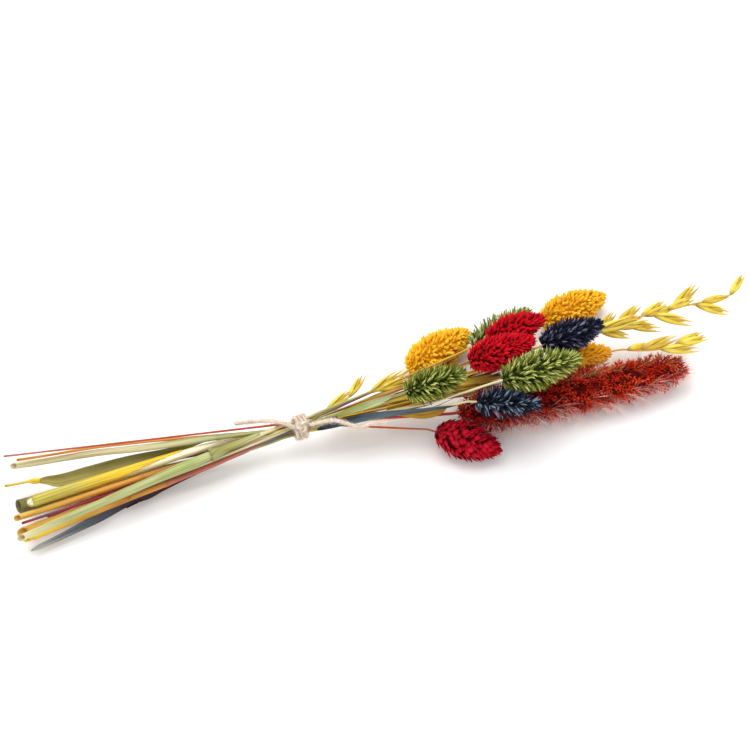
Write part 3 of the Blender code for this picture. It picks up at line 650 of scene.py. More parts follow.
def spindle(name, radii, heights, sides, bend, values):
    """A closed shape that stands on the origin: rings of these radii at these heights, bent towards +X."""
    around = 2 * math.pi * np.arange(sides) / sides
    sections = [np.stack([bend * height ** 2 + radius * np.cos(around), radius * np.sin(around),
                          np.full(sides, height)], axis=1) for radius, height in zip(radii, heights)]
    return loft(name, sections, values)


def hair(name, thickness, bend):
    """A fibre one unit long with a fine point."""
    shares = np.linspace(0.0, 1.0, HAIR_STEPS + 1)
    return spindle(name, thickness / 2 * (1.0 - HAIR_THINS * shares), shares, HAIR_SIDES, bend,
                   {"along": shares, "across": shares * 0 + 0.6})


def knot_line():
    """A trefoil, flattened against the bundle."""
    out = unit(KNOT_FACES)
    aside = np.cross(out, (1.0, 0.0, 0.0))
    centre = np.array((0.0, 0.0, TIE_HEIGHT)) + KNOT_OUT * out
    turn = np.linspace(0.0, 2 * math.pi, KNOT_POINTS)
    along = KNOT_SIZE[0] * (np.sin(turn) + 2 * np.sin(2 * turn))
    across = KNOT_SIZE[1] * (np.cos(turn) - 2 * np.cos(2 * turn))
    rise = -KNOT_SIZE[2] * np.sin(3 * turn)
    return centre + np.outer(along, (1.0, 0.0, 0.0)) + np.outer(across, aside) + np.outer(rise, out)


def build_twine():
    finish = twine_finish()
    laid = twine_tree()
    lay = {"Ply Radius": PLY_RADIUS * MM, "Lay": PLY_LAY * MM, "Pitch": PLY_PITCH * MM, "Step": PLY_STEP * MM,
           "Finish": finish}
    tails = []
    for name, points in TAILS.items():
        line = in_frame(smooth_line(points, TAIL_STEP))
        tail = grown(f"{name}_laid", path_object(name, line), laid, lay)
        declare(tail, "twine", name)
        tails.append(tail)
    turns = np.linspace(0.0, TWINE_TURNS, TWINE_TURNS * POINTS_A_TURN + 1)
    angle = 2 * math.pi * turns + COIL_START
    coil = np.stack([(turns - TWINE_TURNS / 2) * TWINE_PITCH, TWINE_WINDING * np.cos(angle),
                     TIE_HEIGHT + TWINE_WINDING * np.sin(angle)], axis=1)
    wound = grown("twine_wound", path_object("coil_path", in_frame(coil)), laid, lay)
    declare(wound, "twine", "twine_coil")
    knot = grown("twine_knotted", path_object("knot_path", in_frame(knot_line())), laid, lay)
    declare(knot, "twine", "twine_knot")
    fibre = new_piece("fibre", hair("fibre", FUZZ_THICKNESS, FUZZ_BEND))
    loose = fuzz_tree()
    for k, twine in enumerate((*tails, wound, knot)):
        fuzz = grown(f"{twine.name}_fuzz", new_piece("fuzz_source", twine.data.copy()), loose, {
            "Fibre": fibre, "Density": FUZZ_DENSITY, "Length": FUZZ_LENGTH * MM, "Stray": FUZZ_STRAY,
            "Seed": k, "Finish": finish})
        declare(fuzz, "twine")
    bpy.data.objects.remove(fibre)


make_camera()
build_twine()


# Grass heads: the dye and the slot of each
HEADS = {
    "yellow_head_a": ("yellow", "head_yellow"),
    "yellow_head_b": ("yellow", "head_yellow"),
    "yellow_head_c": ("amber", "head_yellow"),
    "green_head_a": ("pale_green", "head_green"),
    "green_head_b": ("green", "head_green"),
    "green_head_c": ("green", "head_green"),
    "red_head_a": ("red", "head_red"),
    "red_head_b": ("red", "head_red"),
    "red_head_c": ("crimson", "head_crimson"),
    "navy_head_a": ("violet", "head_navy"),
    "navy_head_b": ("navy", "head_navy"),
}
# How the husks of each dye stand: their number on a square centimetre of the head's outline, length and width
# in millimetres, lean in degrees, disorder, how pale their keels are, and the share that has no pale keel
HUSKS = {
    "yellow": (98, 3.5, 1.9, 62, 0.22, 0.30, 0.0),
    "amber": (86, 4.0, 1.8, 56, 0.20, 0.25, 0.0),
    "red": (84, 4.6, 1.7, 57, 0.22, 0.35, 0.3),
    "crimson": (42, 5.2, 3.9, 36, 0.12, 0.40, 0.0),
    "green": (60, 5.75, 1.5, 48, 0.34, 1.00, 0.40),
    "pale_green": (60, 6.0, 1.5, 48, 0.34, 1.00, 0.20),
    "navy": (60, 5.6, 1.5, 50, 0.34, 1.00, 0.68),
    "violet": (70, 4.9, 1.6, 52, 0.28, 0.80, 0.72),
}
CURLED_HUSKS = ("green", "pale_green", "navy")
FLAT_SCALES = ("crimson",)
# Millimetres that a head's husks stand out further than its solid
FULLER = {"yellow_head_a": 0.9, "yellow_head_b": 0.9, "yellow_head_c": 0.6, "red_head_c": 0.7}
HUSKS_START = 0.8        # millimetres from a head's base to its first husk's root
HUSKS_STOP = 0.40        # of a husk's length, from the last husk's root to the tip
HUSKS_STAND = 0.86       # a core is thinner than its solid by this share of how far a husk reaches out
CURLED_STAND = 1.10      # the same for the curled ones, whose points bow further out
GOLDEN_ANGLE = math.pi * (3 - math.sqrt(5))
CORE_RINGS = 26
CORE_SIDES = 14
THINNEST_CORE = 0.06     # of its full radius
FLOOR_SOFTNESS = 0.0008  # metres over which what is rooted low bends away from the floor
FRINGE_FACES = (0.10, -0.72, -0.69)      # the side of the foxtail where its bristles are combed out
EVERY_SIDE = -2.0        # lower than any husk can face, so that all of them stand
AXIS_POINTS = 6


def egg_outline(nodes, t):
    """Share of a head's full radius at t, from its base to its tip."""
    return nodes.maths("SINE", t ** 0.76 * math.pi) ** 0.66


def foxtail_outline(nodes, t):
    """Share of the foxtail's full radius: narrower at its base, blunt at its tip."""
    return nodes.maths("MINIMUM", (t * 9.0) ** 0.6, 1.0) * (t * 0.45 + 0.80) * (1.0 - t) ** 0.24


def spike_tree(name, outline):
    """Husks rooted in a golden spiral on a core that follows the axis, each leaning to the tip.

    Those stand that face the fringe's side by more than Facing, or away from it where Side is -1.
    """
    nodes, given = geometry_tree(name, {
        "Husk": "Object", "Count": "Int", "Core Radius": "Float", "Husk Length": "Float",
        "Husk Width": "Float", "Lean": "Float", "Scatter": "Float", "Side": "Float",
        "Facing": "Float", "Seed": "Int", "Finish": "Material"})
    index = nodes.add("GeometryNodeInputIndex")

    def varied(low, high, kind):
        """A random number for each husk, from a sequence of its own for each kind."""
        return nodes.draw(low, high, index, given["Seed"] + kind)

    axis = nodes.add("GeometryNodeMeshToCurve", {}, {"Mesh": given["Geometry"]})
    t = (index + 0.5) / given["Count"]
    place = nodes.add("GeometryNodeSampleCurve", {"mode": "FACTOR"}, {"Curves": axis, "Factor": t},
                      "Position")
    ahead = nodes.unit(place["Tangent"])
    side = nodes.unit(nodes.maths("CROSS_PRODUCT", ahead, (0, 0, 1)))
    over = nodes.maths("CROSS_PRODUCT", side, ahead)
    out = nodes.swung(index * GOLDEN_ANGLE + varied(-0.22, 0.22, 0), side, over)
    share = outline(nodes, t)
    reach = given["Core Radius"] * share * varied(0.90, 1.06, 1)
    lean = given["Lean"] * (1.0 - t ** 3 * 0.70 + (1.0 - t) ** 6 * 0.60) * varied(0.72, 1.22, 2)
    growth = nodes.swung(lean, ahead, out)
    growth = nodes.unit(growth + nodes.stray(index, given["Seed"] + 3) * given["Scatter"])
    roots = nodes.add("GeometryNodePoints", {}, {"Count": given["Count"], "Position": place + out * reach})
    roots = nodes.add("GeometryNodeStoreNamedAttribute", {"data_type": "FLOAT", "domain": "POINT"},
                      {"Geometry": roots, "Name": "tone", "Value": varied(0.0, 1.0, 7)})
    aside = nodes.maths("CROSS_PRODUCT", growth, out) * varied(-1.0, 1.0, 9)
    turn = nodes.stood(growth, out + aside * given["Scatter"] * 3.0)
    drawn = varied(0.82, 1.15, 8) * (share * 0.3 + 0.7)
    width = given["Husk Width"] * drawn
    size = nodes.arrow(width, width, given["Husk Length"] * drawn)
    facing = nodes.maths("DOT_PRODUCT", out, FRINGE_FACES) * given["Side"]
    chosen = nodes.maths("GREATER_THAN", facing, given["Facing"])
    husks = nodes.planted(roots, given["Husk"], turn, size, chosen)
    husks = nodes.add("GeometryNodeRealizeInstances", {}, {"Geometry": husks})
    core = nodes.add("GeometryNodeResampleCurve", {"mode": "COUNT"}, {"Curve": axis, "Count": CORE_RINGS})
    along = nodes.add("GeometryNodeSplineParameter", {}, {}, "Factor")
    thick = nodes.maths("MAXIMUM", outline(nodes, along), THINNEST_CORE) * given["Core Radius"]
    both = nodes.join(husks, nodes.tube(core, CORE_SIDES, 1.0, thick))
    at = nodes.add("ShaderNodeSeparateXYZ", {}, {0: nodes.add("GeometryNodeInputPosition")}, "Z")
    lifted = (at + nodes.maths("SQRT", at * at + FLOOR_SOFTNESS ** 2)) * 0.5
    above = nodes.arrow(at["X"], at["Y"], lifted)
    resting = nodes.add("GeometryNodeSetPosition", {}, {"Geometry": both, "Position": above})
    end_tree(nodes, resting, given["Finish"])
    return nodes


def husk_shape(name, keel, bow):
    """One closed, keeled husk a unit long and wide: rooted at the origin, pointed, bowed outwards."""
    shares = np.array((0.0, 0.15, 0.38, 0.62, 0.84, 1.0))
    sections = []
    for t in shares:
        half = max(0.03, 0.5 * math.sin(math.pi * t ** 0.80) ** 0.70)
        height = max(0.03, keel * math.sin(math.pi * t ** 0.85) ** 0.80)
        across = np.array((-half, -0.5 * half, 0.0, 0.5 * half, half, 0.0))
        out = bow * t ** 2 + height * np.array((0.0, 0.6, 1.0, 0.6, 0.0, -0.25))
        sections.append(np.stack([out, across, np.full(6, t)], axis=1))
    ridges = np.tile((0.4, 0.0, 1.0, 0.0, 0.4, 0.0), (len(shares), 1))
    return new_piece(name, loft(name, sections, {"along": shares, "across": ridges}, smooth=False))


def spike_axis(node):
    """Base, tip and full width of a straight head, from its solid's corners."""
    corners = solid_corners(node)
    middle = corners.mean(axis=0)
    ahead = np.linalg.svd(corners - middle, full_matrices=False)[2][0]
    ahead *= np.sign(ahead[0])
    along = (corners - middle) @ ahead
    off = np.linalg.norm(corners - middle - np.outer(along, ahead), axis=1)
    return middle + ahead * along.min(), middle + ahead * along.max(), 2 * off.max()


def build_heads():
    nodes = spike_tree("grass head", egg_outline)
    keeled = husk_shape("keeled_husk", 0.50, 0.45)
    curled = husk_shape("curled_husk", 0.45, 1.20)
    flat = husk_shape("flat_scale", 0.16, 0.10)
    finishes = {dye: husk_finish(f"{dye}_husk", *DYES[dye], *HUSKS[dye][5:]) for dye in HUSKS}
    for seed, (node, (dye, slot)) in enumerate(HEADS.items()):
        base, tip, width = spike_axis(node)
        per_area, length, husk_width, lean, disorder = HUSKS[dye][:5]
        reach = np.linalg.norm(tip - base)
        ahead = (tip - base) / reach
        axis = np.linspace(base + ahead * HUSKS_START * MM, tip - ahead * length * HUSKS_STOP * MM,
                           AXIS_POINTS)
        stand = CURLED_STAND if dye in CURLED_HUSKS else HUSKS_STAND
        core = width / 2 - length * MM * math.sin(math.radians(lean)) * stand + FULLER.get(node, 0.0) * MM
        head = grown(f"{node}_husks", path_object("axis", axis), nodes, {
            "Husk": flat if dye in FLAT_SCALES else curled if dye in CURLED_HUSKS else keeled,
            "Count": round(per_area * reach * width * 1e4),
            "Core Radius": core, "Husk Length": length * MM, "Husk Width": husk_width * MM,
            "Lean": math.radians(lean), "Scatter": disorder, "Side": 1.0, "Facing": EVERY_SIDE,
            "Seed": 20 * seed, "Finish": finishes[dye]})
        declare(head, slot, node)
    for husk in (keeled, curled, flat):
        bpy.data.objects.remove(husk)


build_heads()


# Foxtail: its coats of tufts, all on the same axis. For each the dye, the deeper dye near its root, how long
# the tufts are and the radius that they stand on in millimetres, their lean in degrees, the side that they
# stand on with how far they face it, and a seed
COATS = {
    "foxtail_seeds": ("rust", "ember", 7.2, 7.6, 58, 1.0, EVERY_SIDE, 300),
    "foxtail_bristles": ("rust", "ember", 8.2, 6.6, 60, 1.0, EVERY_SIDE, 340),
    "foxtail_fringe": ("rust_bristle", "ember_bristle", 13.0, 6.6, 66, 1.0, 0.45, 380),
    # The haze coat's amber is painted light: the glow of the bristles on the side that faces the key lamp
    "foxtail_haze": ("amber_bristle", "amber_bristle", 9.6, 7.4, 62, -1.0, 0.86, 420),
}
TUFTS = 560
TUFT_DISORDER = 0.45
SEEDS_IN_TUFT = 9
SEED_SIDES = 4
SEED_RADIUS = 0.055      # of its tuft's length
SEED_LENGTHS = (0.32, 0.50)      # at least and at most, of its tuft's length
SEEDS_LEAN = 1.25        # at most, in radians
BRISTLES_IN_TUFT = 8
BRISTLE_THICKNESS = 0.015        # of a bristle's length
BRISTLES_LEAN = 0.8      # at most, in radians
AXIS_SLICES = 10


def spread_about(random, widest):
    """A turn that leans what stands on Z by a random angle, towards a random side."""
    lean = random.uniform(0.1, widest)
    towards = random.uniform(0.0, 2 * math.pi)
    ahead = Vector((math.sin(lean) * math.cos(towards), math.sin(lean) * math.sin(towards), math.cos(lean)))
    return ahead.to_track_quat("Z", "X").to_matrix().to_4x4()


def seed_tuft(random):
    """A short branch of pointed seeds that stand off it at every angle, one unit long."""
    seeds = []
    shares = np.array((0.0, 0.25, 0.6, 1.0))
    radii = SEED_RADIUS * np.maximum(0.10, np.sin(math.pi * (0.12 + 0.84 * shares)))
    for k in range(SEEDS_IN_TUFT):
        data = spindle(f"seed_{k}", radii, shares * random.uniform(*SEED_LENGTHS), SEED_SIDES, 0.0,
                       {"along": 0.2 + 0.8 * shares, "across": shares * 0 + 0.3})
        turn = spread_about(random, SEEDS_LEAN)
        turn.translation = Vector((0.0, 0.0, 0.10 + 0.62 * k / (SEEDS_IN_TUFT - 1)))
        data.transform(turn)
        seeds.append(data)
    return joined("seed_tuft", seeds)


def bristle_tuft(random):
    """Bristles that spread from a short branch, one unit long."""
    bristles = []
    for k in range(BRISTLES_IN_TUFT):
        data = hair(f"bristle_{k}", BRISTLE_THICKNESS, random.uniform(-0.3, 0.3))
        turn = spread_about(random, BRISTLES_LEAN)
        turn.translation = Vector((0.0, 0.0, random.uniform(0.05, 0.35)))
        data.transform(turn)
        bristles.append(data)
    return joined("bristle_tuft", bristles)


def foxtail_axis(node):
    """The middle of the foxtail's solid, slice by slice, from its base to a tuft short of its tip."""
    corners = solid_corners(node)
    edges = np.linspace(corners[:, 0].min(), corners[:, 0].max(), AXIS_SLICES + 1)
    slices = [corners[(corners[:, 0] >= a) & (corners[:, 0] <= b)] for a, b in zip(edges, edges[1:])]
    middles = np.array([(s.min(axis=0) + s.max(axis=0)) / 2 for s in slices])
    middles[0] = middles[1] + 1.4 * (middles[1] - middles[2])
    middles[-1] = middles[-2] + 1.05 * (middles[-2] - middles[-3])
    return smooth_line(middles, 6.0 * MM)


def build_foxtail():
    random = np.random.default_rng(5)
    nodes = spike_tree("foxtail", foxtail_outline)
    axis = foxtail_axis("foxtail_head")
    for name, (dye, ember, reach, core, lean, side, facing, seed) in COATS.items():
        seeds = name == "foxtail_seeds"
        tuft = seed_tuft(random) if seeds else bristle_tuft(random)
        piece = grown(name, path_object("axis", axis), nodes, {
            "Husk": tuft, "Count": TUFTS, "Core Radius": core * MM, "Husk Length": reach * MM,
            "Husk Width": reach * MM, "Lean": math.radians(lean), "Scatter": TUFT_DISORDER, "Side": side,
            "Facing": facing, "Seed": seed, "Finish": foxtail_finish(f"{name}_dye", DYES[dye], DYES[ember])})
        declare(piece, "foxtail_rust", *(("foxtail_head",) if seeds else ()))
        bpy.data.objects.remove(tuft)


build_foxtail()


# Stems: the slot of each, how far along its joints are, and its colours by millimetres from its cut end
# Painted highlight: a cream brighter than the straw's own, where stems above shade green_stem_c
HIGHLIT_CREAM = colour(1.00, 0.96, 0.64)
CREAM = colour(0.66, 0.60, 0.35)
PALE_GREEN = colour(0.38, 0.41, 0.17)
FRESH_GREEN = colour(0.33, 0.40, 0.12)
OLIVE = colour(0.28, 0.27, 0.06)
# Painted shadow: the dark olive of the upper oat spray's straw, where it lies under the wide straws
SHADOW_OLIVE = colour(0.16, 0.15, 0.045)
STRAW_GREEN = colour(0.54, 0.46, 0.08)
ORANGE = colour(0.58, 0.24, 0.035)
GOLD = colour(0.68, 0.40, 0.055)
OCHRE = colour(0.76, 0.42, 0.018)
# Painted shade: an amber darkened to match the shaded amber head that the lower oat spray's stalk crosses
SHADED_AMBER = colour(0.60, 0.27, 0.012)
YELLOW = colour(0.82, 0.56, 0.03)
BROWN = colour(0.34, 0.14, 0.04)
RED_BROWN = colour(0.24, 0.055, 0.015)
RED = colour(0.50, 0.06, 0.035)
DARK_RED = colour(0.28, 0.010, 0.012)
RUST_RED = colour(0.50, 0.07, 0.015)
PINK = colour(0.44, 0.13, 0.09)
PURPLE = colour(0.10, 0.045, 0.065)
GREY = colour(0.15, 0.14, 0.19)
STEMS = {
    "yellow_stem_a": ("straw_orange", (0.34,), (
        (0, YELLOW), (30, ORANGE), (68, ORANGE), (80, PINK), (122, PINK), (134, GREY), (154, GREY),
        (166, PALE_GREEN), (215, YELLOW))),
    "yellow_stem_b": ("straw_orange", (0.22, 0.71), (
        (0, GOLD), (60, ORANGE), (100, BROWN), (130, CREAM), (190, GOLD))),
    "yellow_stem_c": ("straw_orange", (0.62,), (
        (0, ORANGE), (85, ORANGE), (120, OLIVE), (170, GOLD), (300, BROWN))),
    "green_stem_a": ("straw_green", (0.30,), (
        (0, CREAM), (30, PALE_GREEN), (70, PALE_GREEN), (100, FRESH_GREEN), (130, CREAM),
        (200, PALE_GREEN))),
    "green_stem_b": ("straw_cream", (0.41,), (
        (0, CREAM), (60, CREAM), (110, PALE_GREEN), (150, OLIVE), (185, GOLD), (205, CREAM), (270, CREAM))),
    # The bright cream from 58 to 135 mm is painted highlight on a stretch that lies in shade
    "green_stem_c": ("straw_cream", (0.26,), (
        (0, STRAW_GREEN), (40, YELLOW), (58, HIGHLIT_CREAM), (135, HIGHLIT_CREAM), (160, PALE_GREEN),
        (260, OLIVE))),
    "red_stem_a": ("stem_red", (0.5,), (
        (0, PINK), (25, BROWN), (45, PALE_GREEN), (100, CREAM), (128, OLIVE), (150, PURPLE), (180, BROWN),
        (212, OCHRE), (280, OCHRE))),
    "red_stem_b": ("stem_red", (0.44,), (
        (0, DARK_RED), (12, PURPLE), (25, DARK_RED), (82, DARK_RED), (94, OLIVE), (118, PALE_GREEN),
        (142, PALE_GREEN), (160, PINK), (240, BROWN))),
    "red_stem_c": ("stem_red", (0.68,), (
        (0, PINK), (100, PINK), (150, PURPLE), (168, RUST_RED), (192, RUST_RED), (204, PINK), (240, PINK))),
    "navy_stem_a": ("stem_navy", (0.4,), (
        (0, GREY), (70, PURPLE), (130, GREY), (170, OLIVE), (212, OCHRE), (280, OCHRE))),
    "navy_stem_b": ("stem_navy", (0.52,), (
        (0, PURPLE), (90, GREY), (150, CREAM), (240, CREAM))),
    "foxtail_stem": ("stem_rust", (0.7,), (
        (0, PINK), (60, RED), (120, RED), (230, RED))),
}
LONGEST_STEM = 360.0
CUT_FACES = np.array((0.0, -0.54, 0.84))
INTO_HEAD = 0.004        # how far a stem runs on into its head
RING_GAP = 1.5           # corners closer than this along the bunch belong to one ring of a stem's solid
STRAW_STEP = 2.2
STRAW_SIDES = 18
RIB_DEPTH = 0.035        # of a stem's radius
CUT_SLANT = 1.1
CUT_BACK = 1.1           # how far a slanting cut reaches back, in radii of its stem
JOINT_LENGTH = 1.3
JOINT_BULGE = 0.20       # of a stem's radius
HOLLOW_WALL = 0.45
HOLLOW_DEPTHS = (3.4, 1.6, 0.4, 0.05)    # of the hollow's rings behind the cut, in radii of the stem
# Painted shade: the hollow's rings behind the cut are painted darker
HOLLOW_SHADES = (1.0, 0.9, 0.6, 0.2)     # how dark those rings are
PITH_RINGS = ((0.3, 0.2), (0.75, 0.3), (1.0, 0.7), (1.0, 2.2), (0.9, 4.5))   # share of the hollow, depth
SKIN_APART = 0.37        # between the noise of one stem and the next
WIDEST_CUT = "green_stem_c"
WIDEST_SET_IN = 4.2      # so that the straw under it shows
WIDEST_SLANT = 0.8
SHEATH_EDGE = 15         # points across one face of a sheath
SHEATH_WALL = 0.25
SHEATH_STREAK = 0.7
FLARE_LENGTH = 2.5
STRETCH_KNOTS = 12
# Sheaths: a seed, the stem, the slot, where it starts and ends, its edges, how far it stands off, how it
# flares, and its colours
SHEATHS = {
    "yellow_sheath": (93, "green_stem_c", "straw_orange", -143.0, -62.0,
                      ((-25, 200), (-25, 200), (-15, 195), (5, 190), (35, 175), (75, 150), (100, 120)),
                      0.45, 0.0,
                      ((0, STRAW_GREEN), (22, STRAW_GREEN), (45, YELLOW), (80, YELLOW), (110, OLIVE))),
    "green_sheath": (92, "green_stem_a", "straw_green", -50.0, -22.0,
                     ((-30, 190), (0, 185), (30, 175), (60, 150)),
                     0.35, 1.1,
                     ((0, PALE_GREEN), (6, OLIVE), (30, PALE_GREEN))),
    "torn_sheath": (91, "yellow_stem_a", "straw_orange", -148.0, -95.0,
                    ((-60, 215), (-50, 210), (-30, 195), (0, 180), (40, 140)),
                    0.30, 0.2,
                    ((0, YELLOW), (20, GOLD), (45, ORANGE), (60, BROWN))),
}


def ring_line(node):
    """Middle and radius of each ring of a stem's solid, from its cut end on, in metres."""
    corners = solid_corners(node)
    corners = corners[np.argsort(corners[:, 0])]
    rings = np.split(corners, np.flatnonzero(np.diff(corners[:, 0]) > RING_GAP * MM) + 1)
    middles = [ring.mean(axis=0) for ring in rings]
    radii = [np.linalg.norm(ring - middle, axis=1).mean() for ring, middle in zip(rings, middles)]
    return np.column_stack([middles, radii])


def tube_frame(knots, sides=STRAW_SIDES):
    """Middles and radii at even steps along a stem's knots, the way ahead, and the turn round it at each."""
    line = smooth_line(knots, STRAW_STEP * MM)
    ahead, side, rise = directions(line[:, :3])
    out, around = round_about(side, rise, sides)
    return line[:, :3], line[:, 3], ahead, out, around


def skin_places(reached, out, radius):
    """Where each point lies on a stem's own skin: how far along, and two ways across."""
    across = np.stack([out[0] @ out[0][0], out[0] @ np.cross(out[0][0], (1.0, 0.0, 0.0))], axis=1)
    flat = np.broadcast_to(across[None], (len(reached), *across.shape)) * np.reshape(radius, (-1, 1, 1))
    return np.concatenate([np.broadcast_to(reached[:, None, None], (*flat.shape[:2], 1)), flat], axis=2)


def cut_plane(out, ahead, radius, slant):
    """How far the cut end's corners are moved along a stem, so that its mouth shows."""
    return (out[0] @ CUT_FACES * slant + max(0.0, slant - CUT_BACK))[:, None] * ahead[0] * radius[0]


def set_in(knots, distance):
    """A stem's knots with its cut end moved along it."""
    knots = knots.copy()
    knots[0, :3] += unit(knots[1, :3] - knots[0, :3]) * distance
    return knots


def straw(name, knots, joints, finish, seed, slant=CUT_SLANT, sides=STRAW_SIDES):
    """A ribbed dry stem through the knots (middle and radius), with joints and a cut into its hollow."""
    random = np.random.default_rng(seed)
    middle, radius, ahead, out, around = tube_frame(knots, sides)
    share = share_along(middle)
    travelled = share * length_of(middle)
    joint = np.zeros(len(share))
    for place in joints:
        joint += np.exp(-((travelled - place * travelled[-1]) / (JOINT_LENGTH * MM)) ** 2)
    wobble = 1 + 0.03 * np.sin(travelled * 230 + random.uniform(0, 6)) + random.normal(0, 0.006, len(share))
    radius = radius * wobble * (1 + JOINT_BULGE * joint)
    rib = 1 + RIB_DEPTH * np.cos(sides // 2 * around + random.uniform(0, 6))
    sections = middle[:, None] + out * (radius[:, None] * rib)[..., None]
    cut = cut_plane(out, ahead, radius, slant)
    sections[0] = sections[0] + cut
    hollow = radius[0] * max(0.3, 1 - HOLLOW_WALL * MM / radius[0])
    mouth = middle[0] + out[0] * hollow + cut
    inner = [mouth + ahead[0] * radius[0] * depth for depth in HOLLOW_DEPTHS]
    sections = np.concatenate([inner, sections])
    sections[..., 2] = np.maximum(sections[..., 2], 0.0)
    rings = len(HOLLOW_DEPTHS)
    reached = np.concatenate([np.zeros(rings), travelled])
    # The hollow's rings get painted shade through the joints' darkening
    joint = np.concatenate([HOLLOW_SHADES, joint])
    skin = skin_places(reached, out, np.concatenate([np.full(rings, hollow), radius])) + seed * SKIN_APART
    return loft(name, sections, {"reached": reached, "joint": joint, "skin": skin}, finish)


def pith_plug(name, knots, finish, slant):
    """Soft pith that fills a straw just behind its cut."""
    middle, radius, ahead, out, _ = tube_frame(knots)
    cut = cut_plane(out, ahead, radius, slant)
    full = radius[0] - (HOLLOW_WALL + 0.1) * MM
    sections = [middle[0] + ahead[0] * depth * MM + out[0] * full * share + cut
                for share, depth in PITH_RINGS]
    return loft(name, sections, {}, finish)


def sheath(name, knots, edges, finish, seed, gap, flare):
    """A torn leaf sheath: a thin shell round part of a stem, between two edges that run along it.

    edges gives, at even steps along it, the angles in degrees of its front and back edge; 90 is on top.
    """
    random = np.random.default_rng(seed)
    middle, radius, _, out, _ = tube_frame(knots)
    share = share_along(middle)
    travelled = share * length_of(middle)
    steps = np.linspace(0.0, 1.0, len(edges))
    front, back = (np.interp(share, steps, np.radians(side)) for side in zip(*edges))
    front = front + random.normal(0, 0.05, len(share))
    angles = front[:, None] + (back - front)[:, None] * np.linspace(0, 1, SHEATH_EDGE)[None]
    east, up = out[:, 0], unit(np.cross(out[:, 0], np.gradient(middle, axis=0)))
    up = up * np.sign(up[:, 2:3])
    rays = np.cos(angles)[..., None] * east[:, None] + np.sin(angles)[..., None] * up[:, None]
    lifted = radius + gap * MM + flare * MM * np.exp(-travelled / (FLARE_LENGTH * MM))
    ripple = 1 + 0.03 * np.cos(np.arange(SHEATH_EDGE) * math.pi)
    outer = middle[:, None] + rays * (lifted[:, None] * ripple)[..., None]
    inner = middle[:, None] + rays[:, ::-1] * (lifted - SHEATH_WALL * MM)[:, None, None]
    sections = np.concatenate([outer, inner], axis=1)
    skin = np.stack(np.broadcast_arrays(travelled[:, None], lifted[:, None] * angles, 0.0), axis=2)
    skin = np.concatenate([skin, skin[:, ::-1]], axis=1) + seed * SKIN_APART
    return loft(name, sections, {"reached": travelled, "joint": travelled * 0, "skin": skin}, finish)


def build_stems():
    for seed, (node, (slot, joints, stops)) in enumerate(STEMS.items()):
        widest = node == WIDEST_CUT
        rings = set_in(ring_line(node), WIDEST_SET_IN * MM if widest else 0.0)
        onward = np.append(unit(rings[-1, :3] - rings[-2, :3]) * INTO_HEAD, 0.0)
        knots = np.concatenate([rings, [rings[-1] + onward]])
        data = straw(f"{node}_straw", knots, joints, straw_finish(f"{node}_skin", stops), seed,
                     WIDEST_SLANT if widest else CUT_SLANT)
        declare(new_piece(f"{node}_straw", data), slot, node)


def stretch_of(node, start, end):
    """The knots of a stem between two places along the bunch, in the tie's frame."""
    rings = ring_line(node)
    places = np.linspace(start, end, STRETCH_KNOTS) * MM + TIE_PLACE[0]
    return np.column_stack([np.interp(places, rings[:, 0], rings[:, k]) for k in range(4)])


def build_sheaths():
    """Dry leaf sheaths that are still on some of the stems, and the pith in the widest cut."""
    for name, (seed, node, slot, start, end, edges, gap, flare, stops) in SHEATHS.items():
        finish = straw_finish(f"{name}_skin", stops, SHEATH_STREAK)
        data = sheath(name, stretch_of(node, start, end), edges, finish, seed, gap, flare)
        declare(new_piece(name, data), slot)
    pith = pith_plug("pith", set_in(ring_line(WIDEST_CUT), WIDEST_SET_IN * MM), pith_finish(), WIDEST_SLANT)
    declare(new_piece("pith", pith), "straw_cream")


build_stems()
build_sheaths()


